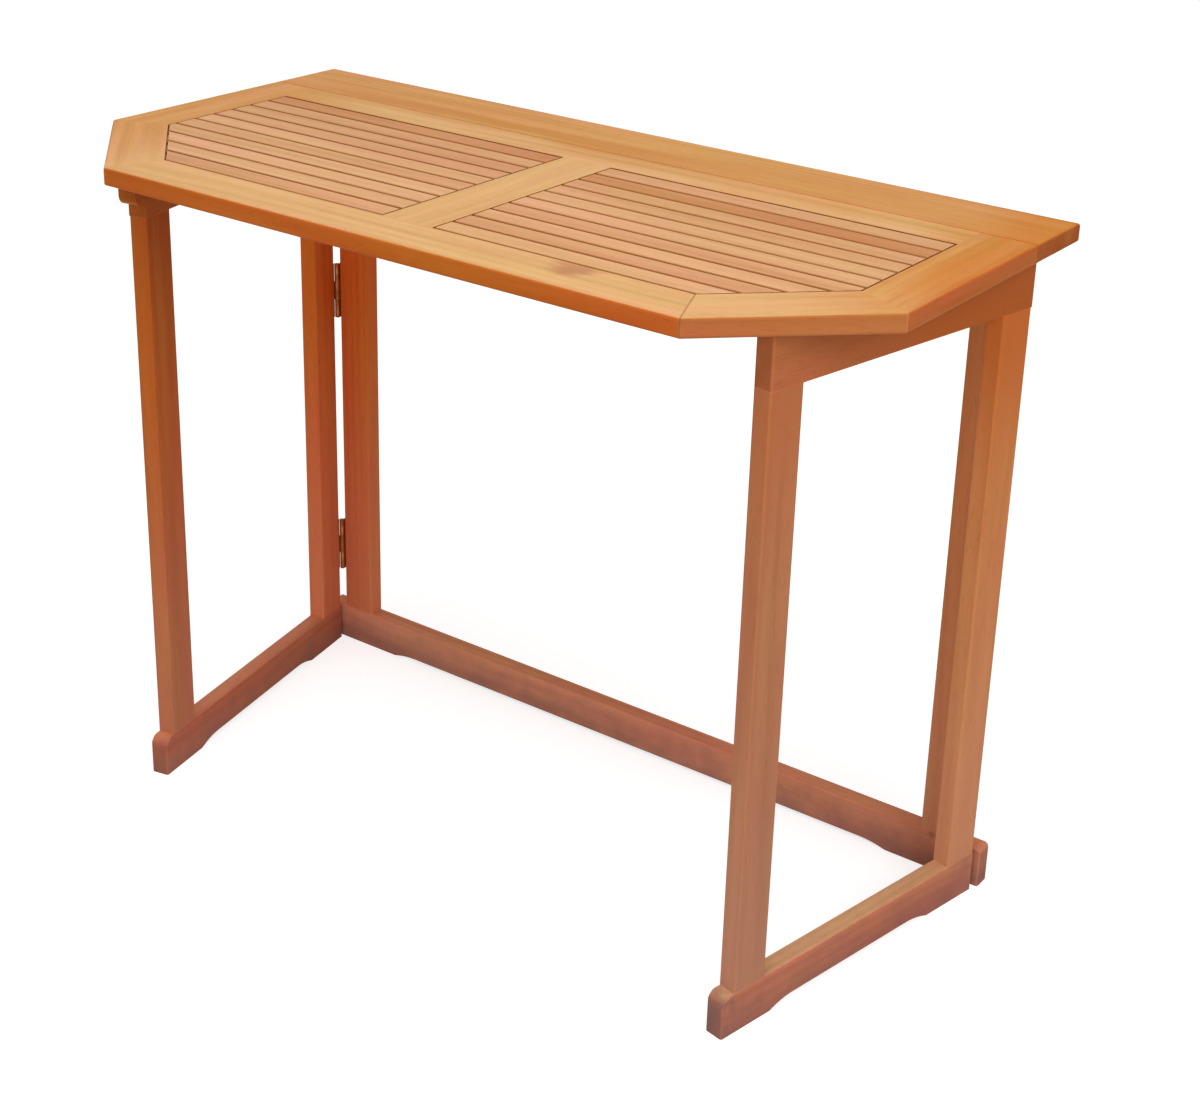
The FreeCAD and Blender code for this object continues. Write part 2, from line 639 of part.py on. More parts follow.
def leaf_frame():
    groove = panel_groove()
    holes = mitre_dowels(JOINT_CLEARANCE)
    side = leaf_rail([side_front, side_back, (x_panel_side, side_back[1]), inner_side_front])
    side = side.common(seam_side(-1)).cut([groove, back_rail_tenon(JOINT_CLEARANCE)] + holes)
    corner = leaf_rail([front_end, side_front, inner_side_front, inner_front_end]).cut([groove] + holes)
    front = leaf_rail([flipped(front_end), front_end, inner_front_end, flipped(inner_front_end)])
    back = block(-x_panel_side, x_panel_side, y_panel_back, y_leaf_back, z_under, TABLE_HEIGHT)
    back = back.common(seam_side(-1)).fuse([back_rail_tenon(), mirrored(back_rail_tenon())])
    middle = block(-x_panel_middle, x_panel_middle, y_panel_front, y_panel_back, z_under, TABLE_HEIGHT)
    sockets = middle_rail_tenons(JOINT_CLEARANCE)
    back_cuts = leaf_hinge_sinks(-1) + leaf_hinge_screws(-1, RUNNING_CLEARANCE) + sockets
    return {
        "leaf_right_rail": side,
        "leaf_left_rail": mirrored(side),
        "leaf_right_corner_rail": corner,
        "leaf_left_corner_rail": mirrored(corner),
        "leaf_front_rail": front.cut(holes + sockets),
        "leaf_back_rail": back.cut(back_cuts),
        "leaf_middle_rail": middle.fuse(middle_rail_tenons()).cut([groove, mirrored(groove)]),
    }


def slat(index):
    """Slat of the right panel, counted from the back, with a tongue at each end."""
    pitch = (y_panel_back - y_panel_front - SLAT_GAP) / SLATS_PER_PANEL
    y_high = y_panel_back - SLAT_GAP - index * pitch
    y_low = y_high - pitch + SLAT_GAP
    body = prism(panel_outline(x_panel_side - SLAT_END_GAP, x_panel_middle + SLAT_END_GAP,
                               inner_corner - SLAT_END_GAP, y_low, y_high),
                 TABLE_HEIGHT - SLAT_THICKNESS, TABLE_HEIGHT)
    body = body.makeChamfer(SLAT_EDGE_EASE, edges_where(body, lambda p: near(p.z, TABLE_HEIGHT) and
                                                        (near(p.y, y_low) or near(p.y, y_high))))
    tongue = prism(panel_outline(x_panel_side + TONGUE_LENGTH, x_panel_middle - TONGUE_LENGTH,
                                 inner_corner + TONGUE_LENGTH,
                                 y_low + TONGUE_SHOULDER, y_high - TONGUE_SHOULDER),
                   z_tongue - TONGUE_THICKNESS / 2, z_tongue + TONGUE_THICKNESS / 2)
    return body.fuse(tongue)


def build():
    """All pieces by name, in the table's frame."""
    pieces = {
        "frame_left_upright": frame_left_upright(),
        "frame_right_upright": mirrored(frame_left_upright()),
        "frame_bottom_rail": frame_bottom_rail(),
        "frame_top_rail": frame_top_rail(),
        "rear_board": rear_board(),
        "board_screws": Part.makeCompound(board_screws()),
    }
    frame_leaves = Part.makeCompound([hinge_plate(1, z_low) for z_low in hinge_bottoms()])
    pins = Part.makeCompound(gate_hinge_pins())
    frame_screws = gate_hinge_screws(1)
    pieces["left_hinge_frame_leaves"] = frame_leaves
    pieces["right_hinge_frame_leaves"] = mirrored(frame_leaves)
    pieces["left_hinge_pins"] = pins
    pieces["right_hinge_pins"] = mirrored(pins)
    pieces["frame_hinge_screws"] = Part.makeCompound(frame_screws + [mirrored(s) for s in frame_screws])
    for name, folded in gate(horned_top_rail).items():
        pieces["left_gate_" + name] = opened(folded)
    for name, folded in gate(flush_top_rail).items():
        pieces["right_gate_" + name] = mirrored(opened(folded))
    pieces.update(leaf_frame())
    pieces["leaf_mitre_dowels"] = Part.makeCompound(mitre_dowels())
    for index in range(SLATS_PER_PANEL):
        right_slat = slat(index)
        pieces["right_slat_%02d" % (index + 1)] = right_slat
        pieces["left_slat_%02d" % (index + 1)] = mirrored(right_slat)
    for side, name in ((1, "board"), (-1, "leaf")):
        plates = [leaf_hinge_plate(side, x_low) for x_low in leaf_hinge_starts()]
        pieces["seam_hinge_%s_leaves" % name] = Part.makeCompound(plates)
        pieces["seam_hinge_%s_screws" % name] = Part.makeCompound(leaf_hinge_screws(side))
    pieces["seam_hinge_pins"] = Part.makeCompound(leaf_hinge_pins())
    return pieces


os.makedirs("parts", exist_ok=True)
for node, shape in build().items():
    shape.exportStep("parts/%s.step" % node)
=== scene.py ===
"""Folding balcony table: oiled hardwood finishes, brass fittings, studio stage and camera."""

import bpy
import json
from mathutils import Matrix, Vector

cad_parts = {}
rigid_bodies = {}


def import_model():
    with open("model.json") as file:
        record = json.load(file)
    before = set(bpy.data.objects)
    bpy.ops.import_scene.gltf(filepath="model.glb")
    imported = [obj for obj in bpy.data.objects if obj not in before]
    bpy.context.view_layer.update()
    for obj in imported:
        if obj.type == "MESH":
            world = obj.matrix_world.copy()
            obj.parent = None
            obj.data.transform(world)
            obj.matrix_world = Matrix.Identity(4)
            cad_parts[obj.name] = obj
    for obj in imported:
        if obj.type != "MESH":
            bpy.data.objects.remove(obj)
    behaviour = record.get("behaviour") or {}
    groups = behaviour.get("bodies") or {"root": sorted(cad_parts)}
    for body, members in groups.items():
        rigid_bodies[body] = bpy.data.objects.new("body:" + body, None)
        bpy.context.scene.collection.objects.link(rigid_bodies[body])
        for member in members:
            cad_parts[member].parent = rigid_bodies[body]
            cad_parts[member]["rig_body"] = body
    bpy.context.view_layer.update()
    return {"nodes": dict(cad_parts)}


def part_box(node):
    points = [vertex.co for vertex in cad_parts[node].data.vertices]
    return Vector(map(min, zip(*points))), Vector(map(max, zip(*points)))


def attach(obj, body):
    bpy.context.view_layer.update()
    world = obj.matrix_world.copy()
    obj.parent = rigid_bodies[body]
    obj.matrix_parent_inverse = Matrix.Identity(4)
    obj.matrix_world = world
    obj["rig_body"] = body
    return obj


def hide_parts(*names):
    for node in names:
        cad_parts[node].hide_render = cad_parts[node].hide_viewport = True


bl_info = {
    "name": "Folding Balcony Table",
    "version": (1, 0, 0),
    "blender": (4, 5, 0),
    "location": "View3D > Sidebar > Balcony Table",
    "description": "Finishes the folding balcony table and sets it on a studio stage",
    "category": "Object",
}

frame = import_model()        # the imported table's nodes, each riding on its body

import json
import math
import random
from functools import partial

import bmesh
import bpy
from bpy.props import FloatProperty, FloatVectorProperty, PointerProperty
from bpy.types import NodeSocket, Operator, Panel, PropertyGroup
from mathutils import Color, Euler, Matrix, Vector

NODES = frame["nodes"]


def tone(code):
    """Linear colour of a hexadecimal screen colour."""
    return tuple(Color([byte / 255 for byte in bytes.fromhex(code)]).from_srgb_to_scene_linear())


def colour(label, text, code):
    return FloatVectorProperty(name=label, description=text, subtype="COLOR", size=3, min=0, max=1,
                               default=tone(code))


def number(label, text, value, **kind):
    return FloatProperty(name=label, description=text, min=0, default=value, **kind)


length = partial(number, subtype="DISTANCE", unit="LENGTH")
share = partial(number, subtype="FACTOR", max=1)
power = partial(number, unit="POWER")


# Settings that a user would change
class TableFinish(PropertyGroup):
    """Tones of the wood and the brass, with the painted light and shade on the wood, and how strongly
    grain and wear show.
    """
    # Painted light and shade over the top: pale where the light pools at the front, tan towards the left
    # and the back, amber at the right rear corner
    rail_pale: colour("Pale Top", "Upper faces at the front of the top, bleached by the sun", "DAA76C")
    rail_tan: colour("Tan Top", "Upper faces at the back and the left of the top", "D0914C")
    rail_amber: colour("Amber Top", "Upper faces at the right rear corner of the top", "C97A20")
    rail_side: colour("Rail Side", "Edges of the top's rails", "C0631F")
    # Painted light: the corner rails' sides are painted paler, which lightens the shaded gap at the ends
    # of the slats
    rail_side_lit: colour("Painted Light Rail Side", "Paler edges of the corner rails", "B96F3C")
    # Painted light: the upper faces of the slats get these paler tones, their sides the deeper side tone
    slat_pale: colour("Pale Slat", "Upper face of the palest slats", "D9A271")
    slat_rosy: colour("Rosy Slat", "Upper face of the rosy slats", "D29968")
    slat_tawny: colour("Tawny Slat", "Upper face of the darkest slats", "C48450")
    slat_side: colour("Slat Side", "Edges of the slats", "B0683A")
    leg_deep: colour("Deep Leg", "Wood of the left gate's front post and top rail", "BE5F1F")
    leg_russet: colour("Russet Leg", "Wood of the rear posts on the left", "DF691E")
    leg_ruddy: colour("Ruddy Leg", "Wood of the rear frame's and right gate's top rails", "BE6E42")
    leg_amber: colour("Amber Leg", "Wood of the rear posts on the right", "D6874F")
    leg_pale: colour("Pale Leg", "Paler wood of the right gate's front post", "BC7851")
    # Painted shade under the top, on the right gate's rear post and towards the rear of its top rail
    leg_shade: colour("Leg Shade", "Deeper wood of the right gate's rear post under the top", "C96B2F")
    rail_shade: colour("Rail Shade", "Deeper wood of the right gate's top rail towards the rear", "B25B25")
    foot_deep: colour("Left Foot Rail", "Sides of the left gate's foot rail", "C66E4D")
    foot_rosy: colour("Right Foot Rail", "Sides of the right gate's foot rail", "CF7D5E")
    foot_pale: colour("Rear Foot Rail", "Sides of the rear frame's foot rail", "DD8D6C")
    # Painted light: the upper faces of the foot rails get these paler tones, their sides the deeper side
    # tones
    foot_top: colour("Foot Rail Top", "Upper faces of the left and the rear foot rail", "D5845D")
    foot_top_pale: colour("Pale Foot Rail Top", "Upper faces of the right foot rail", "DAA375")
    pore: colour("Pores", "Pores and late wood", "6B3516")
    heart: colour("Heart Streak", "Dark streak along the rear board", "BF7B2E")
    knot: colour("Knots", "Knots and the wood round them", "A4603F")
    grime: colour("Gap Grime", "Old oil and dirt in the gaps between the slats", "8E5622")
    # Painted light: the posts are painted paler towards the floor, away from the shade under the top
    seam: colour("Open Joint", "Dirt in the mitre that has opened", "7A4A2A")
    fade: colour("Painted Post Light", "Tone that the posts fade to towards the floor", "C8988A")
    dust: colour("Floor Dust", "Dull grime that gathers on the feet", "7E5F5C")
    dowel: colour("Dowel", "Plain beech of the hidden dowels", "D8B98C")
    brass: colour("Brass", "Rubbed brass of hinges and screws", "B4703C")
    tarnish: colour("Tarnish", "Brown tarnish on the brass", "94582C")
    # Share of the painted light that makes the posts paler towards the floor
    fading: share("Fading", "How far the posts fade towards the floor", 0.28)
    figure: share("Figure", "Contrast of streaks and growth rings", 0.6)
    wear: share("Arris Wear", "How pale the worn arrises are", 0.35)
    ring_spacing: length("Ring Spacing", "Distance between growth rings", 0.009)
    waviness: length("Waviness", "How far the grain wanders", 0.02)
    arris: length("Arris Width", "Width of the worn band along edges", 0.003)
    roughness: share("Roughness", "Roughness of the oiled wood", 0.48)


class TableFittings(PropertyGroup):
    """Small sizes of hinges and screws that their solids leave plain."""
    corner_radius: length("Plate Corner", "Radius of the corners of the hinge plates", 0.003)
    edge_break: length("Edge Break", "Rounding of the rims of plates and barrels", 0.0003)
    dome: length("Dome", "Rise of the ends of screws and pins", 0.0003)
    recess_width: length("Recess Width", "Width of the crossed recess in the screws", 0.0009)
    recess_depth: length("Recess Depth", "Depth of the crossed recess in the screws", 0.0009)


class TableStage(PropertyGroup):
    """Floor, light and camera."""
    floor: colour("Floor", "Plain pale floor", "C4C4C4")
    floor_size: length("Floor Size", "Length of the floor's sides", 12.0)
    floor_glow: share("Floor Glow", "White that the floor adds towards the camera", 0.72)
    sky: share("Sky", "Even light from all round", 0.5)
    key: power("Key", "Power of the large lamp on the right", 28.0)
    top_light: power("Top Light", "Power of the lamp overhead", 20.0)
    fill: power("Fill", "Power of the low lamp in front", 16.0)


# Shader node helpers
VALUE = "NodeSocketFloat"
VECTOR = "NodeSocketVector"
COLOUR = "NodeSocketColor"
SURFACE = {COLOUR: ["Color"], VALUE: ["Roughness", "Height"]}
WHITE = (1.0, 1.0, 1.0, 1.0)
HALF = 0.5

# Sockets of a colour Mix node, which share their names with those of its other types
MIX_FACTOR = 0
MIX_FIRST = 6
MIX_SECOND = 7
MIX_RESULT = 2


def feed(tree, node, links):
    """Link a node's inputs to sockets, or set them to values."""
    for name, source in links.items():
        if isinstance(source, NodeSocket):
            tree.links.new(source, node.inputs[name])
        else:
            node.inputs[name].default_value = source


def add(tree, kind, links=None, **settings):
    """New node with its settings and what its inputs are fed."""
    node = tree.nodes.new(kind)
    for key, value in settings.items():
        setattr(node, key, value)
    feed(tree, node, links or {})
    return node


def maths(tree, operation, *inputs, clamp=False):
    links = dict(enumerate(inputs))
    return add(tree, "ShaderNodeMath", links, operation=operation, use_clamp=clamp).outputs[0]


def times(tree, first, second, *added):
    """Product of two inputs, to which a third may be added."""
    return maths(tree, "MULTIPLY_ADD" if added else "MULTIPLY", first, second, *added)


def vectors(tree, operation, *inputs, result="Vector"):
    links = dict(enumerate(inputs))
    return add(tree, "ShaderNodeVectorMath", links, operation=operation).outputs[result]


def axes(tree, vector):
    return add(tree, "ShaderNodeSeparateXYZ", {0: vector}).outputs


def ramp(tree, value, low, high, start=0.0, end=1.0):
    """Smooth step of a value between two limits."""
    links = {"Value": value, "From Min": low, "From Max": high, "To Min": start, "To Max": end}
    return add(tree, "ShaderNodeMapRange", links, interpolation_type="SMOOTHSTEP").outputs["Result"]


def noise(tree, place, stretch, detail=2.0, result="Fac"):
    """Noise with so many features per metre along each axis."""
    scaled = vectors(tree, "MULTIPLY", place, stretch)
    links = {"Vector": scaled, "Scale": 1.0, "Detail": detail}
    return add(tree, "ShaderNodeTexNoise", links).outputs[result]


def wander(tree, place, stretch, reach):
    """Place that noise shifts about, along every axis."""
    centred = vectors(tree, "SUBTRACT", noise(tree, place, stretch, result="Color"), (HALF, HALF, HALF))
    shift = add(tree, "ShaderNodeVectorMath", {0: centred, "Scale": reach}, operation="SCALE")
    return vectors(tree, "ADD", place, shift.outputs["Vector"])


def mix(tree, factor, first, second):
    links = {MIX_FACTOR: factor, MIX_FIRST: first, MIX_SECOND: second}
    return add(tree, "ShaderNodeMix", links, data_type="RGBA").outputs[MIX_RESULT]


def shifted(tree, base, shift):
    """Colour whose hue, saturation or value is shifted."""
    return add(tree, "ShaderNodeHueSaturation", {**shift, "Color": base}).outputs["Color"]


def nested(tree, group, links):
    return add(tree, "ShaderNodeGroup", links, node_tree=group).outputs


def rgba(value):
    return (*value, 1.0)


def new_group(name, inputs, outputs):
    """Empty node group with named sockets by kind: the group, its inputs inside and its output node."""
    group = bpy.data.node_groups.new(name, "ShaderNodeTree")
    for way, sockets in (("INPUT", inputs), ("OUTPUT", outputs)):
        for kind, labels in sockets.items():
            for label in labels:
                group.interface.new_socket(label, in_out=way, socket_type=kind)
    return group, group.nodes.new("NodeGroupInput").outputs, group.nodes.new("NodeGroupOutput")


def hand_out(group, made, results):
    """Group that is complete, as its output node gets its results."""
    feed(group, made, results)
    return group


# Figure of the wood: features per metre along each axis, and the limits of the masks made from them
ACROSS_GRAIN = (0.0, 1.0, 1.0)
WAVES = (1.7, 8.0, 8.0)
LATE_WOOD_POWER = 2.0
RING_PATCHES = (2.5, 30.0, 30.0)
RING_LIMITS = (0.35, 0.7)
STREAKS = (3.0, 48.0, 48.0)
STREAK_LIMITS = (0.25, 0.75)
FIBRES = (12.0, 420.0, 420.0)
PORES = (50.0, 1000.0, 1000.0)
PORE_LIMITS = (0.6, 0.75)
HUE_PATCHES = (5.0, 30.0, 30.0)
HUE_SPREAD = 0.03


def wood_figure():
    """Growth rings, broad streaks, fibres, pores and drifting hue of wood whose grain runs along X."""
    tree, given, made = new_group(
        "wood figure", {VECTOR: ["Grain"], VALUE: ["Ring Spacing", "Waviness"]},
        {VALUE: ["Rings", "Streaks", "Fibres", "Pores", "Hue"]})
    grain = wander(tree, given["Grain"], WAVES, given["Waviness"])
    radius = vectors(tree, "LENGTH", vectors(tree, "MULTIPLY", grain, ACROSS_GRAIN), result="Value")
    turns = times(tree, maths(tree, "DIVIDE", radius, given["Ring Spacing"]), math.tau)
    late_wood = times(tree, maths(tree, "SINE", turns), HALF, HALF)
    strength = ramp(tree, noise(tree, grain, RING_PATCHES), *RING_LIMITS)
    patches = noise(tree, grain, HUE_PATCHES)
    return hand_out(tree, made, {
        "Rings": times(tree, maths(tree, "POWER", late_wood, LATE_WOOD_POWER), strength),
        "Streaks": ramp(tree, noise(tree, grain, STREAKS, detail=3.0), *STREAK_LIMITS),
        "Fibres": noise(tree, grain, FIBRES, detail=3.0),
        "Pores": ramp(tree, noise(tree, grain, PORES, detail=1.0), *PORE_LIMITS),
        "Hue": times(tree, patches, HUE_SPREAD, HALF - HUE_SPREAD / 2),
    })


# Wear, dust and painted light on the posts: limits of the bend of an arris, and of heights above the
# floor
BEVEL_SAMPLES = 6
ARRIS_LIMITS = (1.0, 0.86)
WEAR_PATCHES = (60.0, 60.0, 60.0)
WEAR_LIMITS = (0.3, 0.65)
DUST_PATCHES = (35.0, 35.0, 35.0)
DUST_RAGGEDNESS = 0.06
DUST_LIMITS = (0.085, 0.02)
POST_LIGHT_LIMITS = (0.55, 0.0)


def worn_arris():
    """Mask of the narrow bands along convex edges, where handling has rubbed the oil off."""
    inputs = {VALUE: ["Width"], VECTOR: ["Place"]}
    tree, given, made = new_group("worn arris", inputs, {VALUE: ["Wear"]})
    soft = add(tree, "ShaderNodeBevel", {"Radius": given["Width"]}, samples=BEVEL_SAMPLES)
    true = add(tree, "ShaderNodeNewGeometry").outputs["True Normal"]
    agreement = vectors(tree, "DOT_PRODUCT", soft.outputs["Normal"], true, result="Value")
    patchy = ramp(tree, noise(tree, given["Place"], WEAR_PATCHES), *WEAR_LIMITS)
    worn = times(tree, ramp(tree, agreement, *ARRIS_LIMITS), patchy)
    return hand_out(tree, made, {"Wear": worn})


def dust_and_post_light():
    """Masks of the grime that feet gather at the floor, and of the painted light that makes the posts
    paler towards the floor, away from the shade under the top.
    """
    tree, given, made = new_group("floor dust", {VECTOR: ["Place"]}, {VALUE: ["Dust", "Fade"]})
    height = axes(tree, given["Place"])["Z"]
    patches = noise(tree, given["Place"], DUST_PATCHES, detail=4.0)
    ragged = times(tree, patches, DUST_RAGGEDNESS, height)
    return hand_out(tree, made, {
        "Dust": ramp(tree, ragged, *DUST_LIMITS),
        "Fade": ramp(tree, height, *POST_LIGHT_LIMITS),
    })


# Painted light and shade on the top: how far its tones reach across the width and the depth of the table
LIGHT_PATCHES = (4.0, 4.0, 4.0)
LIGHT_DRIFT = 0.12
LIT_WIDTH = (-0.47, -0.28)
LIT_DEPTH = (0.17, 0.1)
SHADED_WIDTH = (0.35, 0.47)
SHADED_DEPTH = (-0.2, 0.0)


def painted_light_drift():
    """Tone of the top's upper faces, with painted light and shade: pale where the light pools at the
    front, tan towards the left and the back, amber at the right rear corner, with wandering borders.
    """
    tree, given, made = new_group(
        "sun drift", {VECTOR: ["Place"], COLOUR: ["Pale Tone", "Tan Tone", "Amber Tone"]},
        {COLOUR: ["Color"]})
    here = axes(tree, wander(tree, given["Place"], LIGHT_PATCHES, LIGHT_DRIFT))

    def patch(width, depth):
        return times(tree, ramp(tree, here["X"], *width), ramp(tree, here["Y"], *depth))

    # Painted light pools at the front; painted shade deepens the left, the back and the right rear
    # corner
    painted_lit = patch(LIT_WIDTH, LIT_DEPTH)
    front_lit = mix(tree, painted_lit, given["Tan Tone"], given["Pale Tone"])
    amber = patch(SHADED_WIDTH, SHADED_DEPTH)
    return hand_out(tree, made, {"Color": mix(tree, amber, front_lit, given["Amber Tone"])})


# Oiled wood: which faces count as upward, and get the painted light of a paler tone, or as end grain,
# and how much each effect shows
LIT_FACE_LIMITS = (0.5, 0.97)
END_GRAIN_LIMITS = (0.75, 0.97)
DEEP_WOOD = {"Saturation": 1.05, "Value": 0.72}
PALE_WOOD = {"Saturation": 0.98, "Value": 1.12}
STREAK_SHARE = 0.55
RING_SHARE = 0.4
FIBRE_SHARE = 0.35
FIGURE_MIDDLE = 0.55
DEEP_SHARE = 0.4
PORE_SHARE = 0.22
END_GRAIN_SHARE = 0.3
DUST_SHARE = 0.6
DRY_ROUGHNESS = 0.12


def oiled_hardwood(figure, arris, dust):
    """Colour, roughness and height of oiled wood, with painted light that makes the faces that look up
    paler than the sides.
    """
    inputs = {
        VECTOR: ["Place", "Grain", "Facing", "Grain Facing"],
        COLOUR: ["Sunny Tone", "Oiled Tone", "Pore Tone", "Fade Tone", "Dust Tone"],
        VALUE: ["Fading", "Figure", "Ring Spacing", "Waviness", "Arris Width", "Arris Wear",
                "Base Roughness"],
    }
    tree, given, made = new_group("oiled hardwood", inputs, SURFACE)
    wood = nested(tree, figure, {name: given[name] for name in ("Grain", "Ring Spacing", "Waviness")})
    worn = nested(tree, arris, {"Width": given["Arris Width"], "Place": given["Place"]})["Wear"]
    low_down = nested(tree, dust, {"Place": given["Place"]})
    # Painted light: faces that look up are painted paler than the sides
    painted_lit = ramp(tree, axes(tree, given["Facing"])["Z"], *LIT_FACE_LIMITS)
    lengthwise = maths(tree, "ABSOLUTE", axes(tree, given["Grain Facing"])["X"])
    end_grain = ramp(tree, lengthwise, *END_GRAIN_LIMITS)

    board = mix(tree, painted_lit, given["Oiled Tone"], given["Sunny Tone"])
    ground = shifted(tree, board, {"Hue": wood["Hue"]})
    rings = times(tree, wood["Rings"], RING_SHARE)
    pattern = times(tree, wood["Streaks"], STREAK_SHARE, rings)
    fibrous = times(tree, wood["Fibres"], FIBRE_SHARE, pattern)
    centred = maths(tree, "SUBTRACT", fibrous, FIGURE_MIDDLE)
    depth = maths(tree, "MULTIPLY_ADD", centred, given["Figure"], DEEP_SHARE, clamp=True)
    grained = mix(tree, depth, shifted(tree, ground, PALE_WOOD), shifted(tree, ground, DEEP_WOOD))
    ends = times(tree, end_grain, END_GRAIN_SHARE)
    dark = times(tree, wood["Pores"], PORE_SHARE, ends)
    pored = mix(tree, dark, grained, given["Pore Tone"])
    rubbed = mix(tree, times(tree, worn, given["Arris Wear"]), pored, given["Sunny Tone"])
    # Painted light: posts paler towards the floor
    fading = times(tree, low_down["Fade"], given["Fading"])
    lit_low = mix(tree, fading, rubbed, given["Fade Tone"])
    grime = times(tree, low_down["Dust"], DUST_SHARE)

    streaky = times(tree, wood["Streaks"], DRY_ROUGHNESS, given["Base Roughness"])
    dry = maths(tree, "ADD", end_grain, low_down["Dust"])
    return hand_out(tree, made, {
        "Color": mix(tree, grime, lit_low, given["Dust Tone"]),
        "Roughness": times(tree, dry, DRY_ROUGHNESS, streaky),
        "Height": maths(tree, "SUBTRACT", wood["Fibres"], wood["Pores"]),
    })


# Aged brass
BRASS_CLOUDS = (90.0, 90.0, 90.0)
CLOUD_LIMITS = (0.3, 0.7)
BRASS_ARRIS = 0.001
SCRATCHES = (300.0, 300.0, 2500.0)
RUBBED_ROUGHNESS = 0.48
TARNISHED_ROUGHNESS = 0.68


def aged_brass(arris):
    """Colour, roughness and height of brass that has browned, and is bright where it rubs."""
    inputs = {VECTOR: ["Place"], COLOUR: ["Brass Tone", "Tarnish Tone"]}
    tree, given, made = new_group("aged brass", inputs, SURFACE)
    clouds = ramp(tree, noise(tree, given["Place"], BRASS_CLOUDS, detail=5.0), *CLOUD_LIMITS)
    worn = nested(tree, arris, {"Width": BRASS_ARRIS, "Place": given["Place"]})["Wear"]
    tarnished = maths(tree, "SUBTRACT", clouds, worn, clamp=True)
    return hand_out(tree, made, {
        "Color": mix(tree, tarnished, given["Brass Tone"], given["Tarnish Tone"]),
        "Roughness": ramp(tree, tarnished, 0.0, 1.0, RUBBED_ROUGHNESS, TARNISHED_ROUGHNESS),
        "Height": noise(tree, given["Place"], SCRATCHES),
    })


# Marks that lie over the wood: limits in sizes of the mark, shares of its way, or metres below the top
KNOT_PATCHES = (45.0, 90.0, 90.0)
KNOT_RAGGEDNESS = 1.2
KNOT_LIMITS = (1.0, 0.2)
HEART_ENDS = 0.25
HEART_BENDS = (7.0, 0.0, 0.0)
HEART_SWAY = 0.03
HEART_LIMITS = (1.0, 0.1)
GRIME_STARTS = (0.0001, 0.001)
GRIME_STOPS = (0.006, 0.003)
JOINT_LIMITS = (1.0, 0.4)


def new_mark(name, points, values):
    """Empty group that lays a mark over a colour."""
    inputs = {COLOUR: ["Color", "Tone"], VECTOR: ["Place", *points], VALUE: ["Depth", *values]}
    return new_group(name, inputs, {COLOUR: ["Color"]})


def lay_mark(tree, given, made, mask):
    strength = times(tree, mask, given["Depth"])
    return hand_out(tree, made, {"Color": mix(tree, strength, given["Color"], given["Tone"])})


def knot():
    """Smudge of a knot, ragged and darkest in its middle."""
    tree, given, made = new_mark("knot", ["Centre"], ["Size"])
    off = vectors(tree, "DISTANCE", given["Place"], given["Centre"], result="Value")
    patches = noise(tree, given["Place"], KNOT_PATCHES, detail=3.0)
    ragged = times(tree, patches, KNOT_RAGGEDNESS, -KNOT_RAGGEDNESS / 2)
    far = maths(tree, "ADD", maths(tree, "DIVIDE", off, given["Size"]), ragged)
    return lay_mark(tree, given, made, ramp(tree, far, *KNOT_LIMITS))


def heart_streak():
    """Dark wavy streak along X between two points."""
    tree, given, made = new_mark("heart streak", ["Start", "End"], ["Width"])
    here, first, last = [axes(tree, given[name]) for name in ("Place", "Start", "End")]
    run = {"Value": here["X"], "From Min": first["X"], "From Max": last["X"]}
    line = {**run, "To Min": first["Y"], "To Max": last["Y"]}
    middle = add(tree, "ShaderNodeMapRange", line, clamp=False).outputs["Result"]
    along = add(tree, "ShaderNodeMapRange", run).outputs["Result"]
    fading = times(tree, ramp(tree, along, 0.0, HEART_ENDS), ramp(tree, along, 1.0, 1.0 - HEART_ENDS))
    bends = noise(tree, given["Place"], HEART_BENDS)
    sway = times(tree, bends, HEART_SWAY, -HEART_SWAY / 2)
    off = maths(tree, "ADD", maths(tree, "SUBTRACT", here["Y"], middle), sway)
    off = maths(tree, "DIVIDE", maths(tree, "ABSOLUTE", off), given["Width"])
    return lay_mark(tree, given, made, times(tree, ramp(tree, off, *HEART_LIMITS), fading))


def gap_grime():
    """Old oil and dirt on the sides of a gap, from just below the level of the top."""
    tree, given, made = new_mark("gap grime", [], ["Level"])
    depth = maths(tree, "SUBTRACT", given["Level"], axes(tree, given["Place"])["Z"])
    grown = ramp(tree, depth, *GRIME_STARTS)
    return lay_mark(tree, given, made, times(tree, grown, ramp(tree, depth, *GRIME_STOPS)))


def open_joint():
    """Thin dirty line where a joint's plane meets the surface."""
    tree, given, made = new_mark("open joint", ["Centre", "Normal"], ["Width"])
    off = vectors(tree, "SUBTRACT", given["Place"], given["Centre"])
    off = vectors(tree, "DOT_PRODUCT", off, given["Normal"], result="Value")
    off = maths(tree, "DIVIDE", maths(tree, "ABSOLUTE", off), given["Width"])
    return lay_mark(tree, given, made, ramp(tree, off, *JOINT_LIMITS))


def shade():
    """Painted shade: a tone that grows on the way from one point to another."""
    tree, given, made = new_mark("shade", ["Start", "End"], [])
    way = vectors(tree, "SUBTRACT", given["End"], given["Start"])
    gone = vectors(tree, "SUBTRACT", given["Place"], given["Start"])
    passed, whole = [vectors(tree, "DOT_PRODUCT", part, way, result="Value") for part in (gone, way)]
    return lay_mark(tree, given, made, ramp(tree, maths(tree, "DIVIDE", passed, whole), 0.0, 1.0))


# Materials
EFFECTS = {}
WOOD_SHEEN = 0.12
OIL_TINT = (1.0, 0.62, 0.34, 1.0)
BUMP_STRENGTH = 0.35
WOOD_RELIEF = 0.0004
BRASS_RELIEF = 0.0001

